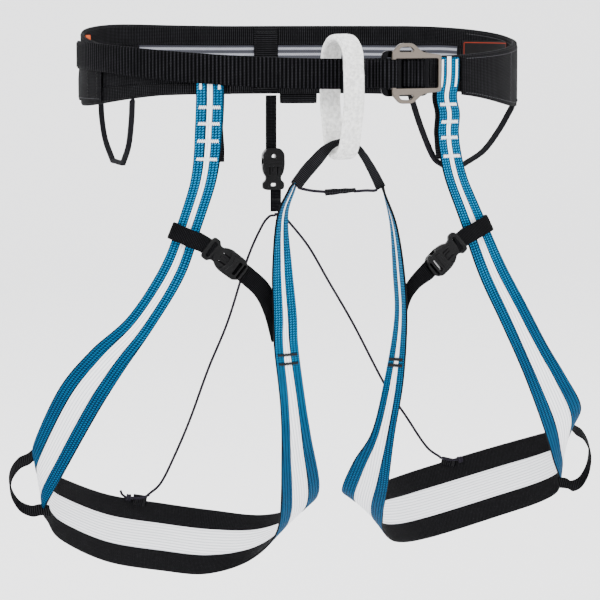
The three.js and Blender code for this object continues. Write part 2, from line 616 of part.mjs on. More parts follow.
// ---- assembly ---------------------------------------------------------------------------------------
addBand();
addBandTrim();
addHaulLoop();
addStraps();
addBuckle();
addBelayLoop();
addElevator();
addBridgeSleeve();
addClip('rear');
for (const side of ['left', 'right']) {
  addRiser(side);
  addGearLoop(side);
  addLegLoop(side);
  addTieInSleeve(side);
  addBridgeCord(side);
  addClip(side);
  addKeeper(side);
  addThighStrap(side);
  addLegTab(side);
  addElevatorCord(side);
}

export default harness;
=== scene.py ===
import math

import bmesh
import bpy
import numpy as np
from mathutils import Matrix, Vector


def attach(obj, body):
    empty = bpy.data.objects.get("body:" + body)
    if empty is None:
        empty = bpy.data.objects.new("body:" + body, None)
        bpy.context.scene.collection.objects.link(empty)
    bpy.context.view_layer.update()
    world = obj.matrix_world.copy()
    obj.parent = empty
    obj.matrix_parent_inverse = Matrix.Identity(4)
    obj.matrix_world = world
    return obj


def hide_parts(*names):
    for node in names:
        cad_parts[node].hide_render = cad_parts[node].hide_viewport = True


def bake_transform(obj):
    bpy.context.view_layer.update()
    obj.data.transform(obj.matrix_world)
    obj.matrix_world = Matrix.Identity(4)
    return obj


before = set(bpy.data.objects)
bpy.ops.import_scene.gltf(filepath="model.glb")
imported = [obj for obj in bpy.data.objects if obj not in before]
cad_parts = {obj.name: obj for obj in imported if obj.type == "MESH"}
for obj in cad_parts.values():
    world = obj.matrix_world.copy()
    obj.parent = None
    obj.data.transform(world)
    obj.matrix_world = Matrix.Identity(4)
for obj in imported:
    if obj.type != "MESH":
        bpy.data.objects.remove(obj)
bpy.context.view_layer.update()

# All sizes below are in millimetres in the part's own frame, and MM turns them into metres.
MM = 0.001
RING_X, RING_Y = 152.0, 105.0
BORDER_SHARE = 0.287
WEBBING = 20.0
SWING_Z = -61.0
UP, FORWARD = np.array([0.0, 0.0, 1.0]), np.array([0.0, -1.0, 0.0])
BASE = "harness_base"
LEGS = {"left": "leg_loop_left", "right": "leg_loop_right"}


# ---- camera, floor and light ----
def add_object(name, data):
    thing = bpy.data.objects.new(name, data)
    bpy.context.scene.collection.objects.link(thing)
    return thing


def add_camera():
    azimuth, elevation, distance = math.radians(-15), math.radians(6), 2.0
    target = Vector((0, 0, -0.1638))
    back = Vector((math.sin(azimuth) * math.cos(elevation), -math.cos(azimuth) * math.cos(elevation),
                   math.sin(elevation)))
    camera = add_object("camera", bpy.data.cameras.new("camera"))
    camera.data.sensor_width = 36
    camera.data.lens = 171.43
    camera.location = target + back * distance
    camera.rotation_euler = back.to_track_quat("Z", "Y").to_euler()
    bpy.context.scene.camera = camera


def add_studio():
    """A white floor that curves up into a wall, an even sky and three soft lamps, in metres."""
    floor_z, wall_y, corner, half_width = -0.46, 3.2, 1.4, 8
    turns = np.linspace(0.15, math.pi / 2, 9)
    profile = [(-9, 0.0), (wall_y, 0.0)]
    profile += [(wall_y + corner * math.sin(a), corner - corner * math.cos(a)) for a in turns]
    profile.append((wall_y + corner, 8.0))
    points = [(x, y, z + floor_z) for y, z in profile for x in (-half_width, half_width)]
    faces = [(2 * k, 2 * k + 1, 2 * k + 3, 2 * k + 2) for k in range(len(profile) - 1)]
    mesh = bpy.data.meshes.new("sweep")
    mesh.from_pydata(points, [], faces)
    mesh.polygons.foreach_set("use_smooth", [True] * len(mesh.polygons))
    mesh.materials.append(Shader("studio_white", 0.9).colour((0.93, 0.93, 0.94)).material)
    floor = add_object("floor_sweep", mesh)
    world = bpy.data.worlds.new("studio")
    world.use_nodes = True
    world.node_tree.nodes["Background"].inputs["Color"].default_value = (1, 1, 1, 1)
    world.node_tree.nodes["Background"].inputs["Strength"].default_value = 2.6
    bpy.context.scene.world = world
    middle = Vector((0, 0, -0.15))
    lamps = [("key", (-1.3, -2.0, 1.5), 1.2, 60), ("fill", (1.8, -1.6, 0.5), 1.4, 20),
             ("top", (0.1, 0.5, 2.2), 1.2, 35)]
    for name, place, size, power in lamps:
        light = bpy.data.lights.new(name, "AREA")
        light.size = size
        light.energy = power
        lamp = add_object(name, light)
        lamp.location = place
        lamp.rotation_euler = (Vector(place) - middle).to_track_quat("Z", "Y").to_euler()


# ---- materials ----
class Shader:
    """A material built from small node steps."""

    def __init__(self, name, roughness, metallic=0.0, specular=0.5):
        self.material = bpy.data.materials.new(name)
        self.material.use_nodes = True
        self.tree = self.material.node_tree
        self.bsdf = self.tree.nodes["Principled BSDF"]
        settings = {"Roughness": roughness, "Metallic": metallic, "Specular IOR Level": specular}
        for key, value in settings.items():
            self.bsdf.inputs[key].default_value = value

    def add(self, kind, values, **settings):
        node = self.tree.nodes.new("ShaderNode" + kind)
        for key, value in settings.items():
            setattr(node, key, value)
        for key, value in values.items():
            if isinstance(value, bpy.types.NodeSocket):
                self.tree.links.new(value, node.inputs[key])
            else:
                node.inputs[key].default_value = value
        return node

    def math(self, operation, a, b=0.0, c=0.0):
        return self.add("Math", {0: a, 1: b, 2: c}, operation=operation).outputs[0]

    def times(self, a, b, plus=0.0):
        return self.math("MULTIPLY_ADD", a, b, plus)

    def apart(self, a, b):
        return self.math("ABSOLUTE", self.math("SUBTRACT", a, b))

    def strap(self):
        """Along the strap, across it, and which face: metres, metres, and -1 to 1."""
        source = self.add("Attribute", {}, attribute_name="strap", attribute_type="GEOMETRY")
        parts = self.add("SeparateXYZ", {0: source.outputs["Vector"]})
        return parts.outputs[0], parts.outputs[1], parts.outputs[2]

    def edge(self):
        """Distance to the nearest edge of the strap, in metres."""
        return self.add("Attribute", {}, attribute_name="edge", attribute_type="GEOMETRY").outputs["Fac"]

    def step(self, value, low, high):
        """0 below low and 1 above high, or the other way round when high is the lower one."""
        values = {"Value": value, "From Min": low, "From Max": high}
        return self.add("MapRange", values, interpolation_type="SMOOTHSTEP").outputs[0]

    def wave(self, value, pitch):
        """A smooth 0 to 1 ripple with this pitch in millimetres."""
        return self.times(self.math("SINE", self.times(value, 2 * math.pi / (pitch * MM))), 0.5, 0.5)

    def noise(self, scale, detail=3.0):
        vector = self.add("TexCoord", {}).outputs["Object"]
        return self.add("TexNoise", {"Vector": vector, "Scale": scale, "Detail": detail}).outputs["Fac"]

    def mix(self, factor, a, b):
        values = {0: factor}
        for index, colour in ((6, a), (7, b)):
            values[index] = colour if isinstance(colour, bpy.types.NodeSocket) else (*colour, 1)
        return self.add("Mix", values, data_type="RGBA").outputs[2]

    def colour(self, *values):
        """One colour, or a factor and the two colours that it mixes."""
        if len(values) == 3:
            self.tree.links.new(self.mix(*values), self.bsdf.inputs["Base Color"])
        else:
            self.bsdf.inputs["Base Color"].default_value = (*values[0], 1)
        return self

    def rough(self, socket):
        self.tree.links.new(socket, self.bsdf.inputs["Roughness"])

    def bump(self, height, depth):
        node = self.add("Bump", {"Height": height, "Distance": depth * MM, "Strength": 1.0})
        self.tree.links.new(node.outputs[0], self.bsdf.inputs["Normal"])
        return self


def black_webbing(name, pitch=1.55, base=(0.0006, 0.0006, 0.0008), light=(0.026, 0.026, 0.029)):
    """Black strap with fine crosswise ribs, and a painted highlight on their crowns."""
    shader = Shader(name, 0.75, specular=0.018)
    along, across, _ = shader.strap()
    weave = shader.times(shader.wave(along, pitch), shader.times(shader.wave(across, 1.0), 0.5, 0.5))
    worn = shader.noise(90.0)
    # Painted highlight: the rib crowns get the lighter colour, and noise varies its strength.
    crown = shader.times(shader.step(weave, 0.3, 0.95), shader.times(worn, 1.0, 0.2))
    shader.colour(crown, base, light)
    shader.rough(shader.times(worn, 0.2, 0.5))
    return shader.bump(weave, 0.3).material


def blue_webbing():
    """Two-tone strap: rows of light dashes on the outside with dark edges, and plain black inside."""
    shader = Shader("blue_two_tone", 0.65, specular=0.04)
    along, across, side = shader.strap()
    row_pitch, dash_pitch = 2.2 * MM, 1.8 * MM
    row_place = shader.math("DIVIDE", across, row_pitch)
    slant = shader.times(row_place, 0.55, shader.times(shader.math("FLOOR", row_place), 0.5))
    phase = shader.math("FRACT", shader.math("ADD", shader.math("DIVIDE", along, dash_pitch), slant))
    lane = shader.step(shader.apart(shader.math("FRACT", row_place), 0.5), 0.45, 0.29)
    dash = shader.times(shader.step(shader.apart(phase, 0.5), 0.42, 0.24), lane)
    shade = shader.noise(60.0)
    light = shader.mix(shade, (0.0, 0.075, 0.18), (0.0, 0.165, 0.35))
    # Painted shade: the light dashes are darkened round the thigh, between the riser and the tie-in point,
    # where the strap faces down and gets less light.
    thigh = shader.times(shader.step(along, 0.1, 0.24), shader.step(along, 0.84, 0.66))
    light = shader.mix(shader.times(thigh, 0.66), light, (0.0, 0.03, 0.09))
    dark = shader.mix(shade, (0.0, 0.001, 0.003), (0.0, 0.005, 0.01))
    border = shader.step(shader.edge(), 0.00075, 0.00045)
    outside = shader.mix(border, shader.mix(dash, dark, light), (0.0015, 0.0018, 0.0025))
    plain = shader.times(shader.wave(along, 1.1), shader.wave(across, 0.9))
    inside = shader.mix(plain, (0.0008, 0.0008, 0.001), (0.013, 0.013, 0.0145))
    shader.colour(shader.step(side, -0.3, 0.1), inside, outside)
    return shader.bump(shader.times(dash, 0.6, shader.times(shader.wave(along, 1.15), 0.4)), 0.22).material


def white_elastic():
    """White knit with narrow grooves along it, painted grey as shade."""
    shader = Shader("white_elastic", 0.85, specular=0.2)
    along, across, _ = shader.strap()
    knit = shader.times(shader.wave(along, 0.8), shader.wave(across, 0.7))
    ribs = shader.wave(across, 2.1)
    # Painted shade: the grooves between the ribs are coloured grey.
    groove = shader.times(shader.step(ribs, 0.34, 0.0), 0.75)
    shader.colour(groove, (0.88, 0.885, 0.91), (0.4, 0.415, 0.46))
    return shader.bump(shader.times(ribs, 0.8, shader.times(knit, 0.3)), 0.45).material


def white_sling():
    """White webbing with a soft, uneven pile."""
    shader = Shader("white_sling", 0.75, specular=0.2)
    along, across, _ = shader.strap()
    weave = shader.times(shader.wave(along, 0.9), shader.wave(across, 1.0))
    pile = shader.times(weave, 0.5, shader.times(shader.noise(420.0), 1.2))
    shader.colour(shader.step(pile, 0.4, 1.0), (0.5, 0.5, 0.49), (0.88, 0.88, 0.86))
    return shader.bump(pile, 0.55).material


def reflective_weave():
    """Dark grey fabric with four bright lengthwise threads."""
    shader = Shader("reflective_weave", 0.5, specular=0.3)
    along, across, _ = shader.strap()
    diagonal = shader.times(across, 1.6, along)
    twill = shader.wave(diagonal, 1.5)
    grey = shader.mix(twill, (0.004, 0.0043, 0.0065), (0.03, 0.032, 0.046))
    lines = 0.0
    for place in (2.9, 7.0, 13.0, 17.1):
        lines = shader.math("MAXIMUM", lines, shader.step(shader.apart(across, place * MM), 0.0011, 0.0006))
    bright = shader.mix(shader.wave(diagonal, 1.3), (0.03, 0.031, 0.042), (0.4, 0.41, 0.46))
    shader.colour(lines, grey, bright)
    return shader.bump(shader.math("ADD", twill, lines), 0.15).material


def cord_weave(name, dark, light):
    """Two families of threads that cross round a cord."""
    shader = Shader(name, 0.75, specular=0.02)
    along, across, _ = shader.strap()
    left, right = (shader.wave(shader.math(way, along, across), 1.3) for way in ("ADD", "SUBTRACT"))
    braid = shader.math("MAXIMUM", left, right)
    shader.colour(braid, dark, light)
    return shader.bump(braid, 0.14).material


def thread(name, colour):
    shader = Shader(name, 0.75, specular=0.2)
    tone = shader.noise(900.0)
    shader.colour(tone, tuple(c * 0.8 for c in colour), colour)
    return shader.bump(tone, 0.1).material


def satin_metal(name, colour, roughness):
    """Anodised metal with fine grinding lines."""
    shader = Shader(name, roughness, metallic=1.0)
    vector = shader.add("TexCoord", {}).outputs["Object"]
    stretched = shader.add("Mapping", {"Vector": vector, "Scale": (60, 60, 900)}).outputs[0]
    lines = shader.add("TexNoise", {"Vector": stretched, "Scale": 4.0, "Detail": 4.0}).outputs["Fac"]
    shader.colour(lines, tuple(c * 0.86 for c in colour), colour)
    shader.rough(shader.times(lines, 0.16, roughness - 0.08))
    return shader.bump(lines, 0.02).material


def moulded_plastic():
    shader = Shader("moulded_plastic", 0.3, specular=0.1)
    marks = shader.noise(120.0)
    shader.colour(marks, (0.0012, 0.0012, 0.0014), (0.003, 0.003, 0.0034))
    shader.rough(shader.times(marks, 0.12, 0.1))
    return shader.bump(shader.noise(1400.0, 2.0), 0.03).material


def label_tape(name, ground, outline, low, high):
    """Blank tape with an outlined box, whose outline lies this far from the tape's edge."""
    shader = Shader(name, 0.8, specular=0.15)
    along, across, _ = shader.strap()
    edge = shader.edge()
    box = shader.times(shader.step(edge, low * MM, (low + 0.3) * MM),
                       shader.step(edge, high * MM, (high - 0.3) * MM))
    weave = shader.times(shader.wave(along, 0.8), shader.wave(across, 0.8))
    shader.colour(box, shader.mix(weave, ground, tuple(c * 1.8 for c in ground)), outline)
    return shader.bump(weave, 0.1).material


# ---- meshes ----
def unit(v):
    return v / np.linalg.norm(v, axis=-1, keepdims=True)


def lengths(path):
    """How far along the path each of its points lies."""
    return np.concatenate([[0], np.cumsum(np.linalg.norm(np.diff(path, axis=0), axis=1))])


def add_piece(name, mesh, finish):
    """An object for this mesh; a finish is a material and the slot that it belongs to, and the slot is not
    used.
    """
    material, slot = finish
    mesh.materials.clear()
    mesh.materials.append(material)
    piece = add_object(name, mesh)
    return piece


def make(name, points, faces, finish, strap=None, edge=None):
    """A smooth piece from points in millimetres, with what the materials read: strap() and edge()."""
    mesh = bpy.data.meshes.new(name)
    mesh.from_pydata((np.asarray(points) * MM).tolist(), [], faces)
    mesh.update()
    mesh.polygons.foreach_set("use_smooth", [True] * len(mesh.polygons))
    if strap is not None:
        mesh.attributes.new("strap", "FLOAT_VECTOR", "POINT").data.foreach_set("vector", np.ravel(strap))
    if edge is not None:
        mesh.attributes.new("edge", "FLOAT", "POINT").data.foreach_set("value", np.ravel(edge))
    return add_piece(name, mesh, finish)


def ring_faces(rows, ring):
    """Quads between neighbouring rings of points, and a cap at each end."""
    faces = []
    for i in range(rows - 1):
        for j in range(ring):
            k = (j + 1) % ring
            faces.append((i * ring + j, (i + 1) * ring + j, (i + 1) * ring + k, i * ring + k))
    last = (rows - 1) * ring
    faces.append(tuple(range(ring)))
    faces.append(tuple(last + j for j in reversed(range(ring))))
    return faces


def smoothstep(value, low, high):
    x = np.clip((np.asarray(value, float) - low) / (high - low), 0, 1)
    return x * x * (3 - 2 * x)


def curve(points, count):
    """This many places along the uniform Catmull-Rom curve that the part's own straps follow."""
    p = np.array(points, float)
    p = np.vstack([2 * p[0] - p[1], p, 2 * p[-1] - p[-2]])
    place = np.linspace(0, 1, count) * (len(p) - 3)
    i = np.minimum(place.astype(int), len(p) - 4)
    u = (place - i)[:, None]
    start, end = p[i + 1], p[i + 2]
    leave, arrive = (p[i + 2] - p[i]) / 2, (p[i + 3] - p[i + 1]) / 2
    return ((2 * u**3 - 3 * u**2 + 1) * start + (u**3 - 2 * u**2 + u) * leave
            + (3 * u**2 - 2 * u**3) * end + (u**3 - u**2) * arrive)


class Ribbon:
    """Two edges sampled along a strap, in millimetres, with the outward normal of its face."""

    def __init__(self, a, b, normal=None):
        self.a, self.b = np.asarray(a, float), np.asarray(b, float)
        middle = (self.a + self.b) / 2
        travel = np.gradient(middle, axis=0)
        facing = np.cross(travel, self.b - self.a) if normal is None else np.tile(normal, (len(self.a), 1))
        self.n = unit(facing)
        self.s = lengths(middle)

    def place(self, s, x, lift=0.0):
        """The point s along, a share x across and lift off the face."""
        s = np.atleast_1d(s)
        a, b, n = (np.stack([np.interp(s, self.s, v[:, k]) for k in range(3)], 1)
                   for v in (self.a, self.b, self.n))
        return a + (b - a) * np.reshape(x, (-1, 1)) + n * np.reshape(lift, (-1, 1))


def strip(name, ribbon, finish, low=0.0, high=1.0, thick=1.8, lift=0.0, columns=8, relief=None, edge=0.55):
    """A closed strap along the ribbon, with soft edges and an optional relief(along, share, side)."""
    rows = len(ribbon.a)
    even = np.linspace(0, 1, columns + 1)
    x = 0.25 - 0.25 * np.cos(np.pi * even) + 0.5 * even
    share = np.concatenate([x, x[::-1]])
    side = np.concatenate([np.ones(columns + 1), -np.ones(columns + 1)])
    low, high = (np.broadcast_to(v, rows)[:, None] for v in (low, high))
    across = low + (high - low) * share[None, :]
    depth = lift + side * thick / 2 * (1 - edge * np.abs(2 * share - 1) ** 10)
    depth = np.tile(depth, (rows, 1))
    if relief is not None:
        depth = depth + side * relief(ribbon.s[:, None], share[None, :], side[None, :])
    span = ribbon.b - ribbon.a
    points = ribbon.a[:, None] + span[:, None] * across[..., None] + ribbon.n[:, None] * depth[..., None]
    width = np.linalg.norm(span, axis=1)[:, None] * (high - low)
    strap = np.stack([np.tile(ribbon.s[:, None], (1, len(share))) * MM, width * share[None, :] * MM,
                      np.tile(side, (rows, 1))], -1)
    ends = np.minimum(ribbon.s, ribbon.s[-1] - ribbon.s)[:, None]
    nearest = np.minimum(width * np.minimum(share, 1 - share)[None, :], ends) * MM
    return make(name, points.reshape(-1, 3), ring_faces(rows, len(share)), finish, strap, nearest)


def sweep(path):
    """Frames along a path that turn as little as they can."""
    travel = unit(np.gradient(path, axis=0))
    normals = [square_to(travel[0])]
    for t in travel[1:]:
        normals.append(unit(normals[-1] - t * np.dot(normals[-1], t)))
    normals = np.array(normals)
    return normals, np.cross(travel, normals)


def square_to(t):
    """A direction square to t, and level where it can be."""
    return unit(np.cross(t, UP if abs(t[2]) < 0.9 else np.array([1.0, 0, 0])))


def tube(name, path, radius, finish, sides=12):
    """A round cord along a path; radius may change along it."""
    path = np.asarray(path, float)
    normal, other = sweep(path)
    angle = 2 * np.pi * np.arange(sides) / sides
    radius = np.broadcast_to(radius, len(path))
    offset = normal[:, None] * np.cos(angle)[None, :, None] + other[:, None] * np.sin(angle)[None, :, None]
    points = path[:, None] + offset * radius[:, None, None]
    along, across = np.meshgrid(lengths(path) * MM, angle * radius.mean() * MM, indexing="ij")
    faces = [tuple(reversed(f)) for f in ring_faces(len(path), sides)]
    strap = np.stack([along, across, np.ones_like(along)], -1)
    return make(name, points.reshape(-1, 3), faces, finish, strap, across)


def stitches(name, ends, radius, finish):
    """Many short thread stitches in one mesh: each runs between two points and is thin at both ends."""
    points, faces = [], []
    sides = 6
    angle = 2 * np.pi * np.arange(sides)[:, None] / sides
    rings = ((0.0, 0.35), (0.15, 0.85), (0.5, 1.0), (0.85, 0.85), (1.0, 0.35))
    for start, end in ends:
        t = unit(end - start)
        side = square_to(t)
        spokes = radius * (side * np.cos(angle) + np.cross(t, side) * np.sin(angle))
        faces += [tuple(len(points) + k for k in reversed(face)) for face in ring_faces(len(rings), sides)]
        for share, size in rings:
            points += list(start + (end - start) * share + spokes * size)
    return make(name, points, faces, finish)


def zigzag(ribbon, s0, s1, x0, x1, lift, count, across=True):
    """Stitch ends for a bar tack between two distances along and two shares across."""
    ends = []
    for k in range(count):
        share, following = k / count, (k + 1) / count
        if across:
            a = (s0 if k % 2 else s1, x0 + (x1 - x0) * share)
            b = (s1 if k % 2 else s0, x0 + (x1 - x0) * following)
        else:
            a = (s0 + (s1 - s0) * share, x0 if k % 2 else x1)
            b = (s0 + (s1 - s0) * following, x1 if k % 2 else x0)
        ends.append((ribbon.place(*a, lift)[0], ribbon.place(*b, lift)[0]))
    return ends


def tacks_at(ribbon, places, half, inset, lift, count):
    """Bar tacks across the strap at these distances along it."""
    tacks = []
    for s in places:
        tacks += zigzag(ribbon, s - half, s + half, inset, 1 - inset, lift, count)
    return tacks


def running_stitch(ribbon, x, lift, pitch=2.6):
    """A row of stitches along a strap, clear of its ends."""
    margin, filled = 2.0, 0.66
    starts = np.arange(margin, ribbon.s[-1] - margin - pitch, pitch)
    return [(ribbon.place(s, x, lift)[0], ribbon.place(s + pitch * filled, x, lift)[0]) for s in starts]


def rectangle(x0, y0, x1, y1):
    return [(x0, y0), (x1, y0), (x1, y1), (x0, y1)]


def mirrored(points):
    """The outline closed by its own mirror image in y."""
    return points + [(x, -y) for x, y in reversed(points)]


def fillet(points, radius, steps=4):
    """The same outline with round corners."""
    points = [np.array(p, float) for p in points]
    result = []
    for k, corner in enumerate(points):
        before, after = points[k - 1] - corner, points[(k + 1) % len(points)] - corner
        reach = min(radius, np.linalg.norm(before) * 0.48, np.linalg.norm(after) * 0.48)
        a, b = corner + unit(before) * reach, corner + unit(after) * reach
        for u in np.linspace(0, 1, steps + 1):
            result.append((1 - u) ** 2 * a + 2 * u * (1 - u) * corner + u**2 * b)
    return result


def plate(name, outlines, z0, z1, bevel, matrix, finish):
    """A flat plate with rounded edges: the first outline is its rim and the others are holes."""
    data = bpy.data.curves.new(name, "CURVE")
    data.dimensions = "2D"
    data.fill_mode = "BOTH"
    data.extrude = ((z1 - z0) / 2 - bevel) * MM
    data.bevel_depth = bevel * MM
    data.bevel_resolution = 2
    data.offset = -bevel * MM
    for outline in outlines:
        spline = data.splines.new("POLY")
        spline.points.add(len(outline) - 1)
        for point, (x, y) in zip(spline.points, outline):
            point.co = (x * MM, y * MM, 0, 1)
        spline.use_cyclic_u = True
    holder = add_object(name + "_outline", data)
    bpy.context.view_layer.update()
    mesh = bpy.data.meshes.new_from_object(holder.evaluated_get(bpy.context.evaluated_depsgraph_get()))
    bpy.data.objects.remove(holder)
    work = bmesh.new()
    work.from_mesh(mesh)
    bmesh.ops.remove_doubles(work, verts=work.verts, dist=1e-6)
    bmesh.ops.recalc_face_normals(work, faces=work.faces)
    work.to_mesh(mesh)
    work.free()
    mesh.transform(matrix @ Matrix.Translation((0, 0, (z0 + z1) / 2 * MM)))
    mesh.name = name
    for polygon in mesh.polygons:
        polygon.use_smooth = len(polygon.vertices) == 4
    return add_piece(name, mesh, finish)


def basis(x, y, z, place):
    matrix = Matrix((Vector(x), Vector(y), Vector(z))).transposed().to_4x4()
    matrix.translation = Vector(place) * MM
    return matrix


def on(body, *pieces):
    for piece in pieces:
        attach(piece, body)


def dress(piece, body, *nodes):
    """The piece rides on a body and stands for these CAD nodes."""
    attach(piece, body)
    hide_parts(*nodes)


# ---- the waist ring ----
def ring_point(turn, z, lift=0.0):
    """A point on the waist ring: 0 degrees is the front, 90 the left hip, 180 the back."""
    turn, z = np.broadcast_arrays(np.asarray(turn, float), np.asarray(z, float))
    angle = np.radians(turn)
    out = unit(np.stack([-np.sin(angle) / RING_X, -np.cos(angle) / RING_Y, 0 * angle], -1))
    middle = np.stack([-RING_X * np.sin(angle), -RING_Y * np.cos(angle), z], -1)
    return middle + out * np.reshape(np.broadcast_to(lift, turn.shape), turn.shape + (1,))


def turn_at_x(x):
    """Where the front half of the ring has this x."""
    return -math.degrees(math.asin(x / RING_X))


def from_back(turn):
    """Degrees from the middle of the back."""
    return np.abs((turn + 360) % 360 - 180)


def band_top(turn):
    left_hip = smoothstep(turn, 60, 105) * (1 - smoothstep(turn, 118, 175))
    return 26.3 - 18.3 * smoothstep(from_back(turn), 40, 156) + 2.3 * left_hip


def band_bottom(turn):
    back = from_back(turn)
    right_hip = smoothstep(turn, 220, 238) * (1 - smoothstep(turn, 262, 285))
    bulge, front = np.sin(np.pi * smoothstep(back, 20, 150)), smoothstep(back, 92, 142)
    return -23 - 3.6 * bulge + 6.5 * front + 4.8 * right_hip


def strap_top(turn):
    return 6.8 + 10.5 * smoothstep(turn, 0, 92)


def strap_bottom(turn):
    return strap_top(turn) - WEBBING + 1.2 * smoothstep(turn, 10, 92)


def ring_ribbon(start, end, top=band_top, bottom=band_bottom, lift=0.0, step=0.5):
    """A band round the waist between two turns; its edges are heights or functions of the turn."""
    turn = np.linspace(start, end, max(int(abs(end - start) / step), 4) + 1)
    high, low, lifts = (v(turn) if callable(v) else np.full(len(turn), float(v)) for v in (top, bottom, lift))
    return Ribbon(ring_point(turn, high, lifts), ring_point(turn, low, lifts))


# Pairs of points on the outer and inner edges of each leg loop's webbing, from riser to tie-in.
LEG_ROUTES = {
    "left": [
        ((-94, -87, -63), (-77.5, -92.4, -63)), ((-106, -84, -101), (-91, -90, -103)),
        ((-117, -79, -131), (-102, -85, -137)), ((-137, -70, -164), (-121, -75, -172)),
        ((-160, -59, -187), (-138, -62, -201)), ((-179, -46, -213), (-153, -46, -231)),
        ((-191, -20, -250), (-172, -18, -277)), ((-190, -4, -265), (-181, 6, -305)),
        ((-179, 12, -277), (-176, 20, -317)), ((-165, 28, -287), (-163, 40, -334)),
        ((-126, 60, -306), (-126, 67, -356)), ((-84, 77, -317), (-81, 81, -368)),
        ((-44, 82, -325), (-50, 81, -372)), ((-10, 64, -327), (-27, 58, -361)),
        ((10, 26, -314), (-16, 26, -341)), ((13, -4, -297), (-16, -4, -318)),
        ((-5, -48, -253), (-25, -44, -269)), ((-14, -66, -225), (-32, -68, -229)),
        ((-24, -85, -186), (-42, -90, -186)), ((-27, -92, -163), (-45, -99, -163)),
        ((-32, -98, -130), (-48, -109, -130)), ((-35, -99, -97), (-46, -114, -96)),
        ((-30, -100, -78), (-38, -116, -77)),
    ],
    "right": [
        ((88, -87, -63), (71, -93.4, -63)), ((106, -86, -101), (87, -91, -102)),
        ((123, -81, -134), (103, -86, -141)), ((142, -73, -164), (121, -77, -173)),
        ((162, -59, -193), (140, -62, -204)), ((181, -45, -217), (154, -49, -228)),
        ((199, -28, -240), (172, -27, -258)), ((204, -8, -254), (186, -8, -283)),
        ((203, 16, -264), (201, 18, -307)), ((191, 38, -272), (197, 38, -321)),
        ((162, 64, -285), (168, 68, -338)), ((114, 80, -301), (122, 80, -353)),
        ((78, 60, -306), (90, 58, -351)), ((47, 28, -306), (71, 30, -337)),
        ((30, -2, -299), (62, 2, -318)), ((31, -28, -275), (57, -26, -294)),
        ((37, -52, -251), (52, -58, -253)), ((40, -73, -212), (49, -88, -211)),
        ((42, -90, -168), (45, -108, -168)), ((39, -96, -136), (41, -115, -136)),
        ((36, -99, -104), (35, -117, -104)), ((31, -101, -82), (27, -115, -82)),
    ],
}


# ---- finishes ----
add_camera()
add_studio()
BLACK = black_webbing("black_weave"), "black_webbing"
RIBBED = black_webbing("ribbed_strap", 2.6, (0.0004, 0.0004, 0.0006), (0.02, 0.02, 0.023)), "ribbed_webbing"
FINE = black_webbing("fine_strap", 1.1, light=(0.015, 0.015, 0.017)), "black_webbing"
COARSE = black_webbing("coarse_sleeve", 1.1, (0.001, 0.001, 0.0013), (0.04, 0.04, 0.045)), "black_webbing"
BLUE = blue_webbing(), "blue_webbing"
BLACK_PLY = BLACK[0], "blue_webbing"
ELASTIC = white_elastic(), "white_elastic"
SLING = white_sling(), "white_webbing"
SILVER = reflective_weave(), "reflective_weave"
CORD = cord_weave("dark_cord_braid", (0.002, 0.002, 0.003), (0.018, 0.016, 0.022)), "dark_cord"
LOOP_CORD = cord_weave("gear_loop_sheath", (0.0008, 0.0008, 0.001), (0.01, 0.01, 0.012)), "dark_cord"
TAUPE = satin_metal("taupe_anodised", (0.105, 0.09, 0.077), 0.32), "buckle_metal"
BLACK_METAL = satin_metal("black_anodised", (0.004, 0.004, 0.0045), 0.22), "black_metal"
PLASTIC = moulded_plastic(), "clip_plastic"
WHITE_THREAD = thread("white_thread", (0.86, 0.87, 0.88)), "white_webbing"
GREY_THREAD = thread("grey_thread", (0.06, 0.06, 0.065)), "black_webbing"
BLACK_THREAD = thread("black_thread", (0.004, 0.004, 0.0045)), "black_webbing"
STRAP_THREAD = BLACK_THREAD[0], "ribbed_webbing"
SIZE_TAPE = (label_tape("printed_tape", (0.0016, 0.0014, 0.0015), (0.20, 0.016, 0.004), 1.0, 1.8),
             "label_print")
ORANGE = label_tape("orange_tape", (0.36, 0.05, 0.006), (0.5, 0.1, 0.02), 1.0, 1.4), "orange_label"


def sew(body, name, ends, radius, finish=BLACK_THREAD):
    on(body, stitches(name, ends, radius, finish))


# ---- waist band ----
BAND_START, BAND_END = turn_at_x(-72), 360 + turn_at_x(47)
PANEL_START, PANEL_END = 139, 241.5
band = ring_ribbon(BAND_START, BAND_END)
for label, low, high in (("upper", 0.0, BORDER_SHARE + 0.004), ("lower", 1 - BORDER_SHARE - 0.004, 1.0)):
    border = strip(f"band_{label}_border", band, BLACK, low, high, thick=2.4, edge=0.7)
    dress(border, BASE, f"waist_band_{label}")
for label, start, end, finish in (("side_panel_left", BAND_START, PANEL_START, BLACK),
                                  ("reflective_panel", PANEL_START, PANEL_END, SILVER),
                                  ("side_panel_right", PANEL_END, BAND_END, BLACK)):
    middle = strip(f"band_{label}", ring_ribbon(start, end), finish, BORDER_SHARE - 0.01,
                   1 - BORDER_SHARE + 0.01, 1.7)
    dress(middle, BASE, f"waist_band_{label}")
seams = []
for share in (0.035, BORDER_SHARE - 0.03, 1 - BORDER_SHARE + 0.03, 0.965):
    seams += running_stitch(band, share, -1.22) + running_stitch(band, share, 1.22)
sew(BASE, "band_seams", seams, 0.16)
for turn in (PANEL_START, PANEL_END):
    joint = ring_ribbon(turn - 1.2, turn + 1.2)
    on(BASE, strip(f"band_joint_{int(turn)}", joint, BLACK, BORDER_SHARE, 1 - BORDER_SHARE, 2.6, columns=6))


def ring_patch(name, start, end, top, bottom, lift, thick, finish, node, relief=None):
    ribbon = ring_ribbon(start, end, top, bottom)
    piece = strip(name, ribbon, finish, lift=lift, thick=thick, relief=relief, edge=0.6)
    dress(piece, BASE, node)
    return ribbon


def hip_top(turn):
    return band_top(turn) - 0.8


def hip_bottom(turn):
    return -28.5 + 11 * smoothstep(turn, 290, 332) + 6.8 * (1 - smoothstep(turn, 250, 276))


def pressed_flat(s, share, side):
    """The cover is squeezed thinner where the waist strap lies over it."""
    return -0.75 * (1 - smoothstep(share, 0.3, 0.38)) * (side > 0)


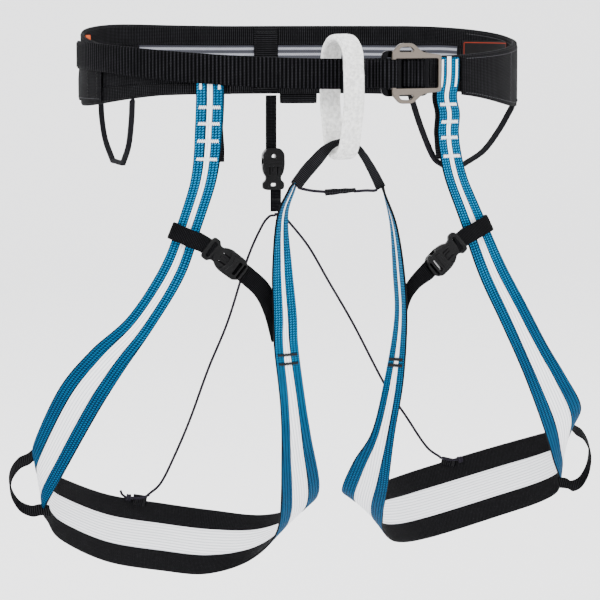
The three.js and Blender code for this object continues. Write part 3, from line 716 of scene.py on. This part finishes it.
left_cover = ring_patch("hip_cover_left", 72, 116, 6, -23, 2.2, 1.5, BLACK, "side_cover_left",
                        pressed_flat)
right_cover = ring_patch("hip_cover_right", 246, 324.5, hip_top, hip_bottom, 2.2, 1.5, BLACK,
                         "side_cover_right")
ring_patch("size_tape", 243, 272, 16, -8, -1.7, 0.7, SIZE_TAPE, "size_label")
ring_patch("care_tape", 103.5, 110.5, 21, 12, -1.7, 0.7, ORANGE, "care_label")
trim = []
for cover in (left_cover, right_cover):
    trim += running_stitch(cover, 0.07, 2.95) + running_stitch(cover, 0.93, 2.95)
right_inside = ring_ribbon(243.5, 300, lambda turn: band_top(turn) - 3.4, lambda turn: band_top(turn) - 5.4)
trim += running_stitch(right_inside, 0, -1.25, pitch=2.2)
trim += tacks_at(right_cover, [right_cover.s[-1] * 0.62], 0.4, 0.05, 2.95, 20)
sew(BASE, "cover_stitching", trim, 0.17, GREY_THREAD)
hip_tack = zigzag(left_cover, 15.5, 18.0, 0.1, 0.95, 3.05, 22)
hip_tack += zigzag(left_cover, 3.5, 5.5, 0.1, 0.95, 3.05, 22)
sew(BASE, "hip_bar_tacks", hip_tack, 0.22)

patch_a = np.array([[-7, 103.4, z] for z in np.linspace(24.5, -21.5, 24)])
patch = Ribbon(patch_a, patch_a + [18, 0, 0], normal=FORWARD)
dress(strip("back_patch", patch, BLACK, thick=1.1, edge=0.7), BASE, "rear_centre_patch")
patch_seam = running_stitch(patch, 0.08, 0.6) + running_stitch(patch, 0.92, 0.6)
patch_seam += tacks_at(patch, (2.7, 43.3), 0.7, 0.1, 0.6, 14)
sew(BASE, "back_patch_stitching", patch_seam, 0.16)

haul_turn = 180 - turn_at_x(27)
haul_profile = [(2.5, -4), (2.6, -16), (2.5, -25.5), (3.2, -28.6), (4.15, -29.9), (5.3, -28.6), (5.9, -25),
                (5.8, -14), (5.6, -4)]
haul_path = curve([ring_point(haul_turn, z, lift) for lift, z in haul_profile], 60)
haul_side = unit(ring_point(haul_turn + 0.5, 0) - ring_point(haul_turn - 0.5, 0)) * 13.5
haul = Ribbon(haul_path - haul_side, haul_path + haul_side)
dress(strip("haul_tab", haul, BLACK, thick=1.1), BASE, "haul_loop")
haul_fold = ring_ribbon(haul_turn - 5.2, haul_turn + 5.2, -6, -8.5)
haul_tack = zigzag(haul_fold, 1, 26, 0, 1, 6.4, 26, across=False)
sew(BASE, "haul_bar_tack", haul_tack, 0.25)


# ---- waist strap and buckle ----
def rib_relief(pitch, depth):
    """Crosswise ribs that fade out at the strap's edges."""
    return lambda s, share, side: depth * np.sin(2 * np.pi * s / pitch) * (1 - np.abs(2 * share - 1) ** 6)


tail_ribbon = ring_ribbon(turn_at_x(20.5), 104, strap_top, strap_bottom,
                          lift=lambda turn: 4.8 - 1.85 * smoothstep(turn, 46, 74), step=0.25)
tail = strip("waist_strap_tail_webbing", tail_ribbon, RIBBED, thick=1.5, relief=rib_relief(2.6, 0.1))
dress(tail, BASE, "waist_strap_tail")
load_ribbon = ring_ribbon(turn_at_x(46.4), BAND_START - 0.2, strap_top, strap_bottom, step=0.25)
load = strip("waist_strap_load_webbing", load_ribbon, RIBBED, thick=1.6, relief=rib_relief(2.6, 0.1))
dress(load, BASE, "waist_strap_load")
end_tacks = tacks_at(tail_ribbon, tail_ribbon.s[-1] - np.array([5.75, 12.75]), 1.25, 0.06, 0.95, 24)
sew(BASE, "strap_end_tacks", end_tacks, 0.22, STRAP_THREAD)

yaw = math.radians(13.8)
across_buckle = Vector((math.cos(yaw), math.sin(yaw), 0))
buckle = basis(across_buckle, (0, 0, 1), across_buckle.cross(Vector((0, 0, 1))), (47.5, -99.4, -3.2))


def buckle_strap(name, profile, half_width, thick):
    """Webbing that follows this side view of the buckle: distances to its right and in front of it."""
    path = curve([np.array(buckle @ Vector((x * MM, 0, z * MM))) / MM for x, z in profile], 110)
    return strip(name, Ribbon(path + UP * half_width, path - UP * half_width), RIBBED, thick=thick,
                 relief=rib_relief(2.6, 0.06))


upper = [(19.4, 11.3), (18.4, 12.3), (5, 13.9), (-2.7, 20), (-12.6, 20), (-18.7, 13.9)]
rim = fillet(mirrored(upper), 2.6)
ear = [(-13, 14.2), (-3.4, 14.2), (-1.8, 15.2), (-4.6, 17.6), (-11.4, 17.2), (-13, 15.6)]
ears = [fillet([(x, sign * y) for x, y in ear], 1.4) for sign in (1, -1)]
window = fillet(rectangle(-15.8, -9.8, 17, 9.8), 1.2)
front = plate("buckle_front", [rim, window, *ears], 9.4, 11.6, 0.5, buckle, TAUPE)
dress(front, "buckle_front", "buckle_front_plate")
windows = [fillet(rectangle(-21, -10.6, -13, 10.6), 1.0), fillet(rectangle(-9.6, -10.6, 8, 10.6), 2.2)]
rear_rim = fillet(rectangle(-24.8, -15.2, 11.6, 15.2), 5.5, 8)
dress(plate("buckle_rear", [rear_rim, *windows], 6.6, 8.4, 0.55, buckle, BLACK_METAL), BASE,
      "buckle_rear_plate")
fold_profile = [(-33, 2.2), (-28.2, 4.4), (-26.8, 7.2), (-25, 11.2), (-21.5, 13.1), (-17, 13.3), (-14.7, 12),
                (-14.2, 9.5), (-14.4, 5.4)]
dress(buckle_strap("buckle_fold_webbing", fold_profile, 9.3, 1.2), BASE, "buckle_strap_fold")
# The strap passes through the window behind the front plate and comes back over the rear plate.
pass_profile = [(-12, 5.0), (-9.5, 5.8), (-6.5, 8.6), (-3, 9.3), (0.5, 8.4), (3, 9.3), (6, 9.2), (10, 6.2),
                (15.5, 4.9)]
on(BASE, buckle_strap("buckle_inner_webbing", pass_profile, 9.2, 1.0))


# ---- risers and leg loops ----
# The outer and inner edges' x at the belt and at the swing height, and the height of the riser's top.
RISERS = {"left": ((-92.5, -94), (-75.5, -77.5), 5), "right": ((86, 89.5), (69, 72.5), 7.5)}


def riser_edges(side, lift, low_share=0.0):
    """The webbing's outer and inner edges, from behind the waist strap down to the leg loop."""
    outer, inner, top = RISERS[side]
    edges = []
    for belt_x, swing_x in (outer, inner):
        t = np.linspace(low_share, 1, 40)
        z = top + (SWING_Z - top) * t
        shift = (swing_x - belt_x) * smoothstep(t, 0.3, 1)
        if side == "right":
            shift = shift - 1.9 * np.exp(-((z + 20) / 8.5) ** 2)
            shift = shift - 2.8 * smoothstep(-z, 27, 45) * (1 - 0.35 * smoothstep(-z, 54, 61))
        edges.append(ring_point(np.full(len(t), turn_at_x(belt_x)), z, lift) + shift[:, None] * [1, 0, 0])
    return edges


JOINT_ROW = 36


def leg_edges(side, lift):
    """The riser's edges and the leg loop's, joined smoothly into one run that ends inside the sleeve."""
    edges = []
    for index, riser in enumerate(riser_edges(side, lift)):
        run = np.vstack([riser[:-4], curve([station[index] for station in LEG_ROUTES[side]], 320)[2:]])
        rise = unit(run[-1] - run[-4])
        narrow = 0.09 * (np.array(LEG_ROUTES[side][-1][1 - index]) - run[-1])
        run = np.vstack([run, [run[-1] + (rise + narrow) * k for k in (1, 2, 3, 4)]])
        low, high = JOINT_ROW - 2, JOINT_ROW + 10
        for _ in range(12):
            run[low:high] = (run[low - 1:high - 1] + run[low + 1:high + 1]) / 4 + run[low:high] / 2
        edges.append(run)
    return edges


def side_ribbon(side, outer, inner):
    """A ribbon on one side of the harness whose face points away from the wearer."""
    return Ribbon(outer, inner) if side == "left" else Ribbon(inner, outer)


def web_share(rows):
    """How much of the width each blue edge takes: all but the middle stripe, which widens into the panel."""
    t = np.clip((np.arange(rows) - JOINT_ROW) / (rows - JOINT_ROW - 1), 0, 1)
    wide = smoothstep(t, 0.08, 0.24) * (1 - smoothstep(t, 0.68, 0.84))
    narrow = 0.075 * (1 - smoothstep(t, 0.0, 0.12)) + 0.11 * smoothstep(t, 0.76, 0.9)
    return (1 - (0.26 - narrow + 0.14 * wide)) / 2


def panel_ribs(s, share, side):
    """The elastic's soft lengthwise ribs, which fade out at its edges."""
    return 0.11 * np.cos(2 * np.pi * 6 * share) * (1 - np.abs(2 * share - 1) ** 4)


def at_height(ribbon, z, pick=0):
    """The distance along at which the ribbon's middle first, or for pick -1 last, has this height."""
    height = (ribbon.a[:, 2] + ribbon.b[:, 2]) / 2
    k = np.where(np.diff(np.sign(height - z)) != 0)[0][pick]
    share = (z - height[k]) / (height[k + 1] - height[k])
    return ribbon.s[k] + share * (ribbon.s[k + 1] - ribbon.s[k])


# Heights of the white tacks across each riser, of the ends of those along it, and of the black inner tacks.
TACK_HEIGHTS = {"left": ((-25.1, -35.9, -47.3), (-6, -13.2), (-190.8, -197.2)),
                "right": ((-24.6, -36.1, -46.8), (5.4, -12.7), (-196.1, -200.5))}
SWING_TACK = -59.2
for side, body in LEGS.items():
    ribbon = side_ribbon(side, *leg_edges(side, 2.55))
    share = web_share(len(ribbon.a))
    gap = 0.25 / np.linalg.norm(ribbon.b - ribbon.a, axis=1)
    first, second = ("outer", "inner") if side == "left" else ("inner", "outer")
    for edge, low, high in ((first, 0.0, share), (second, 1 - share, 1.0)):
        piece = strip(f"leg_{side}_{edge}_webbing", ribbon, BLUE, low, high, 1.7, columns=12)
        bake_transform(piece)
        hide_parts(f"leg_webbing_{edge}_{side}")
    piece = strip(f"leg_{side}_panel", ribbon, ELASTIC, share - gap, 1 - share + gap, 1.2, columns=12,
                  relief=panel_ribs)
    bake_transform(piece)
    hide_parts(f"leg_stretch_panel_{side}")
    ply = side_ribbon(side, *riser_edges(side, 1.45))
    dress(strip(f"riser_{side}_ply", ply, BLACK_PLY, 0.02, 0.98, thick=0.5), BASE, f"riser_{side}")
    back = side_ribbon(side, *riser_edges(side, 0.45, 0.34))
    low, high = (0.04, 0.97 + 0.11 * smoothstep(np.arange(40), 14, 34)) if side == "left" else (-0.07, 0.96)
    dress(strip(f"riser_{side}_backing", back, BLACK, low, high, 1.4), BASE, f"riser_backing_{side}")
    heights, (top, bottom), inner_heights = TACK_HEIGHTS[side]
    tacks = tacks_at(ribbon, [at_height(ribbon, z) for z in heights], 1.2, 0.12, 1.0, 22)
    for x in (0.17, 0.83):
        tacks += zigzag(ribbon, at_height(ribbon, top), at_height(ribbon, bottom), x - 0.05, x + 0.05, 0.95,
                        int((top - bottom) * 3), across=False)
    sew(BASE, f"riser_{side}_tacks", tacks, 0.3, WHITE_THREAD)
    swing_tack = tacks_at(ribbon, [at_height(ribbon, SWING_TACK)], 1.2, 0.12, 1.0, 22)
    sew(BASE, f"riser_{side}_swing_tack", swing_tack, 0.3, WHITE_THREAD)
    inner_tacks = tacks_at(ribbon, [at_height(ribbon, z, -1) for z in inner_heights], 1.3, 0.1, 1.05, 26)
    sew(body, f"leg_{side}_inner_tacks", inner_tacks, 0.36)


# ---- tie-in sleeves, bridge cord and belay loop ----
TIE_IN = {"left": [(-31.6, -106.6, -76.6), (-24.3, -107, -67.2), (-17.6, -107, -60), (-11.6, -107, -53.6),
                   (-6.4, -107, -49.8), (0.4, -107, -47.6)],
          "right": [(27, -106.6, -78.8), (22.4, -107, -70), (18.2, -107, -62.6), (14.6, -107, -57),
                    (10.6, -107, -52.2), (3.7, -107, -48)]}
SLEEVE_HALF = {"left": ((0, 0.25, 0.5, 0.75, 1), (4.2, 4.5, 4.1, 2.7, 2.1)),
               "right": ((0, 0.15, 0.4, 0.75, 1), (3.5, 3.3, 2.8, 2.4, 2.1))}
BRIDGE = {"left": [(-30, -106.5, -77.5), (-27.5, -107.5, -78.5), (-20, -108, -80), (-11, -108.3, -80.8)],
          "right": [(24, -107, -80.2), (21.6, -107.6, -80.6), (16, -108, -80.4), (8, -108.3, -80.8)]}


def sleeve_creases(s, share, side):
    return 0.16 * np.sin(s * 0.9 + 5 * share) * np.sin(7 * share + 1.3)


for side, sign in (("left", -1), ("right", 1)):
    body = LEGS[side]
    path = curve(TIE_IN[side], 60)
    half = unit(np.cross(FORWARD, np.gradient(path, axis=0)))
    half *= np.interp(np.linspace(0, 1, 60), *SLEEVE_HALF[side])[:, None]
    sleeve = strip(f"tie_in_{side}_sleeve", Ribbon(path - half, path + half, normal=FORWARD), COARSE,
                   thick=3.8, edge=0.9, columns=12, relief=sleeve_creases)
    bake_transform(sleeve)
    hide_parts(f"tie_in_sleeve_{side}")
    cord = tube(f"bridge_{side}_cord", curve(BRIDGE[side], 30), 1.0, CORD)
    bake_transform(cord)
    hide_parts(f"bridge_cord_{side}")
sleeve_path = np.linspace((-12, -108.3, -81.2), (9, -108.3, -79.9), 50)
swell = np.linspace(2.3, 1.45, 50) + 0.12 * np.sin(sleeve_path[:, 0] * 0.8)
swell[[0, -1]] = 1.2
dress(tube("bridge_sleeve", sleeve_path, swell, COARSE, 16), BASE, "bridge_cord_sleeve")

BELAY = "belay_loop_body"
BELAY_RADIUS, BELAY_RUN, BELAY_BOW, BELAY_HALF_WIDTH = 15.15, 47.7, 1.1, 7.5
LOOP_MIDDLE = np.array([0, -106.8, -18.5])
loop_yaw = math.radians(13.5)
depth_axis = np.array([-math.sin(loop_yaw), math.cos(loop_yaw), 0])
width_axis = np.cross(depth_axis, UP)


def loop_path(radius, run, bow, count=200):
    """Once round the belay loop: two bowed straight runs and two half circles, pinched towards the bottom."""
    half_turn = run + np.pi * radius
    points = []
    for s in np.linspace(0, 2 * half_turn, count, endpoint=False):
        second, s = divmod(s, half_turn)
        if s < run:
            d, z = radius + bow * math.sin(math.pi * s / run), s - run / 2
        else:
            angle = (s - run) / radius
            d, z = radius * math.cos(angle), run / 2 + radius * math.sin(angle)
        offset = (1 - 2 * second) * np.array([d, z])
        pinch = 1 - 0.24 * smoothstep(-LOOP_MIDDLE[2] - offset[1], 18, 52)
        points.append(LOOP_MIDDLE + depth_axis * offset[0] * pinch + UP * offset[1])
    return np.array(points + points[:1])


def belay_relief(s, share, side):
    """The edges are rolled and sewn down: a groove just inside each edge, and small waves in the fabric."""
    groove = np.exp(-((np.abs(2 * share - 1) - 0.66) / 0.09) ** 2)
    return -0.35 * groove + 0.12 * np.sin(s * 0.55) * np.sin(s * 0.17 + 3 * share)


ring = loop_path(BELAY_RADIUS, BELAY_RUN, BELAY_BOW)
belay_half = width_axis * BELAY_HALF_WIDTH
belay_ribbon = Ribbon(ring - belay_half, ring + belay_half)
belay = strip("belay_loop_sling", belay_ribbon, SLING, thick=4.6, columns=16, edge=0.8, relief=belay_relief)
dress(belay, BELAY, "belay_loop")
rows, lap = [], []
for edge, low in ((0.17, 0.28), (0.83, 0.64)):
    rows += running_stitch(belay_ribbon, edge, 2.15, pitch=2.2)
    lap += zigzag(belay_ribbon, 8, 26, low, low + 0.08, 2.35, 20, across=False)
sew(BELAY, "belay_loop_stitching", rows, 0.22, WHITE_THREAD)
sew(BELAY, "belay_loop_lap", lap, 0.22, WHITE_THREAD)


# ---- gear loops ----
# For each loop: its two ends on plan, then shares of the way between them with heights, down and up.
GEAR = {"left": ([(-130, -54.3), (-130, 54.3)], [(0, -22), (0.03, -35), (0.12, -52), (0.3, -65)],
                 [(0.62, -65), (0.86, -52), (0.97, -38), (1, -27)]),
        "right": ([(50, -98.6), (141.5, -38.4)], [(0, -18.5), (0.1, -40), (0.22, -60), (0.32, -66.5)],
                  [(0.52, -66.5), (0.72, -58), (0.88, -44), (1, -30)])}


def sheath_ribs(s, share, side):
    return 0.07 * np.sin(2 * np.pi * s / 2.4)


for side, (ends, *runs) in GEAR.items():
    first, last = np.array(ends)
    run_down, run_up = (curve([(*(first + (last - first) * share), z) for share, z in run], 40)
                        for run in runs)
    seat = run_down[-1] + (run_up[0] - run_down[-1]) * np.linspace(0.1, 0.9, 14)[:, None]
    hidden_end = run_up[-1] + unit(run_up[-1] - run_up[-3]) * 9.0
    inward = unit(-run_down[0] * [RING_X**-2, RING_Y**-2, 0])
    hidden_start = run_down[0] + inward * 1.2 + UP * 3.5
    path = np.vstack([np.linspace(hidden_start, run_down[0], 14)[:-1], run_down, seat, run_up,
                      np.linspace(run_up[-1], hidden_end, 14)[1:]])
    from_end = np.minimum(np.arange(len(path)), np.arange(len(path))[::-1])
    across = unit(np.array([last[1] - first[1], first[0] - last[0], 0.0]))
    half = across * (0.8 + 1.2 * smoothstep(from_end, 5, 13))[:, None]
    sheath = strip(f"gear_loop_{side}_sheath", Ribbon(path - half, path + half), LOOP_CORD, thick=3.0,
                   edge=0.9, relief=sheath_ribs)
    dress(sheath, f"gear_loop_{side}_body", f"gear_loop_{side}")


# ---- clips, keepers and thigh straps ----
# Each clip's middle, the way that its socket pulls off, and the way that its face looks.
CLIPS = {"left": ((-77.5, -99, -125), (22.5, -3, -17.5), (-0.15, -1, 0)),
         "right": ((74.5, -99.3, -125.5), (-19, -3, -17.5), (0.15, -1, 0)),
         "rear": ((7.5, 104, -78), (0, 0, 1), (0, -1, 0))}
# Outlines along and across a clip, from its middle.
HEEL = [(11, -8), (14.5, -5.6), (15.5, -3)]
MOUTH = [(0.4, -6.0), (1.6, -3.2), (1.9, 0), (1.6, 3.2), (0.4, 6.0)]
BOTTOM = mirrored([(-2.4, -7), (3, -8.2), *HEEL])
SOCKET = BOTTOM[:1] + MOUTH + BOTTOM[:0:-1]
SOCKET_END = mirrored([(7.3, -8.0), *HEEL])
CROWN = [(2.9, -6), (6.8, -6.6), (6.8, 6.6), (2.9, 6), (4.1, 3.1), (4.5, 0), (4.1, -3.1)]
PLUG = mirrored([(-15.5, -5), (-14.5, -8), (-10, -8.2), (-8, -5.6), (-4.5, -5.9), (-4.5, -2.8),
                 (2.4, -2.8), (7, -1.6)])
PRONG = [(-6.4, 2.9), (4.6, 3.0), (6.2, 4.8), (4.6, 7.6), (1.4, 8.5), (-3.2, 7.4), (-6.4, 5.2)]
TONGUE = mirrored([(-4, -1.1), (1.2, -1.1)])


def clip_plate(side, part, place, outline, corner, z0, z1, bevel, windows=()):
    return plate(f"clip_{side}_{part}", [fillet(outline, corner), *windows], z0, z1, bevel, place, PLASTIC)


for side, (centre, axis, face) in CLIPS.items():
    along = Vector(axis).normalized()
    across = Vector(face).cross(along).normalized()
    place = basis(along, across, along.cross(across), centre)
    plug_body, socket_body = LEGS.get(side, BASE), f"clip_socket_{side}_body"
    half_slot = 1.9 if side == "rear" else 5.4
    bar_slot = fillet(rectangle(-12.6, -half_slot, -10.4, half_slot), 0.9)
    plug = clip_plate(side, "plug", place, PLUG, 1.4, -2.1, 2.1, 0.8, [bar_slot])
    dress(plug, plug_body, f"clip_plug_{side}")
    for tag, sign in (("a", 1), ("b", -1)):
        outline = [(x, sign * y) for x, y in PRONG]
        prong = clip_plate(side, f"prong_{tag}", place, outline, 1.6, -2.1, 2.1, 0.8)
        dress(prong, f"clip_prong_{side}_{tag}_body", f"clip_prong_{side}_{tag}")
    windows = [fillet(rectangle(8.6, -4.6, 10.6, 4.6), 0.6), fillet(rectangle(12.2, -5, 13.6, 5), 0.4)]
    if side == "rear":
        turns = np.linspace(0, 2 * math.pi, 16, endpoint=False)
        windows = [[(9.2 + 1.7 * math.cos(a), 1.7 * math.sin(a)) for a in turns]]
    shell = clip_plate(side, "socket", place, SOCKET, 1.2, 2.3, 3.4, 0.5, windows)
    dress(shell, socket_body, f"clip_socket_{side}")
    on(socket_body, clip_plate(side, "socket_back", place, BOTTOM, 1.4, -3.4, -2.3, 0.5, windows),
       clip_plate(side, "socket_end", place, SOCKET_END, 1.2, -3.0, 3.0, 0.8, windows),
       clip_plate(side, "socket_crown", place, CROWN, 1.2, 2.8, 4.0, 0.5))
    on(plug_body, clip_plate(side, "plug_spine", place, TONGUE, 0.8, 1.7, 2.8, 0.4))

# Once round the riser from the clip's bar and back behind it, and half the strap's width.
KEEPERS = {
    "left": [(-84.3, -99.6, -119.6), (-91.4, -96.6, -114.6), (-97, -94, -112.2), (-107, -88.8, -107.6),
             (-110.6, -84.6, -106), (-107.5, -79.4, -107), (-97, -83.2, -111.4), (-91.8, -86.6, -113.8),
             (-84.3, -97.4, -119.6)],
    "right": [(82.2, -99.8, -118.4), (88.4, -97.2, -114.2), (92.5, -95.6, -112.2), (105, -90.8, -106.8),
              (110, -87, -105), (107.4, -81.4, -106.6), (95, -84.2, -113.2), (88.8, -86.8, -117),
              (82.2, -97.6, -118.4)]}
FINE_RIBS = rib_relief(1.25, 0.012)
KEEPER_HALF = {"left": (2.2, 0, 5.3), "right": (2.5, 0, -5.2)}
# Pairs of points on the upper and lower edge, from the clip's socket to the inside of the thigh.
THIGH = {
    "left": [((-60.2, -100.8, -130.2), (-67.8, -100.8, -139.8)), ((-48, -99, -141.5), (-57, -99, -150)),
             ((-38.5, -91, -158), (-50, -96, -163)), ((-32, -82, -179), (-43, -87.5, -182))],
    "right": [((57.6, -101.2, -131), (65, -101.2, -140.6)), ((49, -98, -142), (56, -97, -148.4)),
              ((44.5, -91, -155), (48, -100.5, -160.5)), ((45.5, -88, -180), (46.5, -98.5, -184))]}
INTO_SOCKET = {"left": (-6.4, 0.9, 5.0), "right": (5.4, 0.9, 5.0)}
TABS = {
    "left": [(-187.6, -3, -262.5), (-192.6, 0, -268), (-199, 4, -272), (-204, 8, -281), (-203.6, 10, -292),
             (-198, 10, -302), (-190, 8, -306), (-183.6, 6, -305), (-177.5, 5, -306)],
    "right": [(201.2, -1, -259), (206.6, 2, -264), (214, 5, -269), (220, 8, -280), (219.4, 9, -293),
              (214, 9, -303), (207, 8, -306), (202.8, 8, -304), (196.5, 8, -303)]}
TAB_HALF = {"left": (0, 2.5, 3.5), "right": (0, -2.5, -3.5)}
for side, body in LEGS.items():
    path, half = curve(KEEPERS[side], 110), np.array(KEEPER_HALF[side])
    keeper = strip(f"keeper_{side}_webbing", Ribbon(path - half, path + half), FINE, thick=1.2,
                   relief=FINE_RIBS)
    dress(keeper, body, f"thigh_keeper_{side}")
    upper_edge, lower_edge = (curve([pair[k] for pair in THIGH[side]], 80) for k in (0, 1))
    lead = np.linspace(1, 0.1, 9)[:, None] * INTO_SOCKET[side]
    upper_edge, lower_edge = (np.vstack([e[0] + lead, e]) for e in (upper_edge, lower_edge))
    strap = strip(f"thigh_{side}_webbing", side_ribbon(side, upper_edge, lower_edge), FINE, thick=1.3,
                  relief=FINE_RIBS)
    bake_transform(strap)
    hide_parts(f"thigh_strap_{side}")
    path, half = curve(TABS[side], 96), np.array(TAB_HALF[side])
    tab = strip(f"leg_{side}_tab_webbing", Ribbon(path - half, path + half), BLACK, thick=1.2)
    dress(tab, body, f"leg_tab_{side}")


# ---- elevator: rear straps, cords, anchors and knots ----
def rear_strap(label, x, high, low):
    """A strap 8 mm wide that hangs behind the waist band."""
    z = np.linspace(high, low, 40)
    sway = 0.25 * np.sin(np.pi * (z - high) / (low - high))
    left_edge = np.stack([np.full(40, x), 104 + sway, z], 1)
    ribbon = Ribbon(left_edge, left_edge + [8, 0, 0], normal=FORWARD)
    return ribbon, strip(f"elevator_{label}_webbing", ribbon, FINE, thick=1.35, relief=FINE_RIBS)


_, upper_strap = rear_strap("upper", 2, -24.1, -66.4)
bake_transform(upper_strap)
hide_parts("elevator_strap_upper")
lower_ribbon, lower_strap = rear_strap("lower", 5.5, -91.6, -109.3)
dress(lower_strap, BASE, "elevator_strap_lower")
tack = tacks_at(lower_ribbon, [9], 1, 0.1, -0.75, 12) + tacks_at(lower_ribbon, [9], 1, 0.1, 0.75, 12)
sew(BASE, "elevator_lower_tack", tack, 0.22)

ELEVATOR = {
    "left": [(9.1, 103, -110.2), (8.6, 103, -111.9), (4, 103, -113), (-2, 103, -121), (-13, 101, -144),
             (-29, 95, -188), (-45, 90, -222), (-60, 85, -258), (-73, 80, -284), (-84, 75, -302),
             (-95, 69, -309.4)],
    "right": [(9.9, 103, -110.2), (10.4, 103, -111.9), (15, 103, -113), (20, 103, -118), (34, 101, -136),
              (48, 98, -161), (66, 94, -193), (88, 88, -237), (104, 84, -262), (118, 79, -284),
              (128, 75, -292.2)]}
# Each anchor's middle, height, turn about Z and roll about its own Y.
ANCHORS = {"left": ((-101.5, 66.5, -312.5), 8, 19, 13), "right": ((134, 74, -295.6), 6, -17, 12)}
ANCHOR_LENGTH = 11
KNOTS = {"left": (-110.4, 63.4, -309.4), "right": (141.6, 70, -293.6)}
KNOT_CORD = 0.9
for side, sign in (("left", -1), ("right", 1)):
    body, knot, end = LEGS[side], np.array(KNOTS[side]), ELEVATOR[side][-1]
    cord = tube(f"elevator_{side}_cord", curve(ELEVATOR[side], 160), 0.95, CORD)
    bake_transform(cord)
    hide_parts(f"elevator_cord_{side}")
    centre, height, turn, roll = ANCHORS[side]
    turned = Matrix.Rotation(math.radians(turn), 3, "Z") @ Matrix.Rotation(math.radians(roll), 3, "Y")
    run, rise = (np.array(turned @ Vector(axis)) for axis in ((1, 0, 0), (0, 0, 1)))
    line = np.array(centre) + run * ANCHOR_LENGTH * np.linspace(-0.5, 0.5, 24)[:, None]
    anchor = Ribbon(line + rise * height / 2, line - rise * height / 2)
    dress(strip(f"anchor_{side}_webbing", anchor, BLACK, thick=1.3), body, f"cord_anchor_{side}")
    ties = [tie for lift in (0.8, -0.8) for tie in tacks_at(anchor, (1.9, 8.9), 0.7, 0.08, lift, 12)]
    sew(body, f"anchor_{side}_tacks", ties, 0.2)
    turns = np.linspace(0, 4 * np.pi, 60)
    wrap = 1.55 + 0.25 * np.cos(1.5 * turns)
    across = sign * (turns / (4 * np.pi) - 0.5) * 3.4
    wraps = np.stack([across, wrap * np.cos(turns), wrap * np.sin(turns)], 1)
    dress(tube(f"knot_{side}", knot + wraps, KNOT_CORD, CORD, 10), body, f"cord_knot_{side}")
    if side == "left":
        tip = knot + [-1.6, 0, 0]
        tail_path = curve([tip, tip + [-3.0, -1.2, 2.4], tip + [-4.5, -2.4, 5.4]], 20)
        on(body, tube("knot_left_tail", tail_path, KNOT_CORD, CORD, 10))
    link_path = curve([np.array(end) - [sign, 0, 0], np.array(centre) + [0, -1.2, 1.8], knot], 24)
    on(body, tube(f"knot_{side}_link", link_path, KNOT_CORD, CORD, 10))
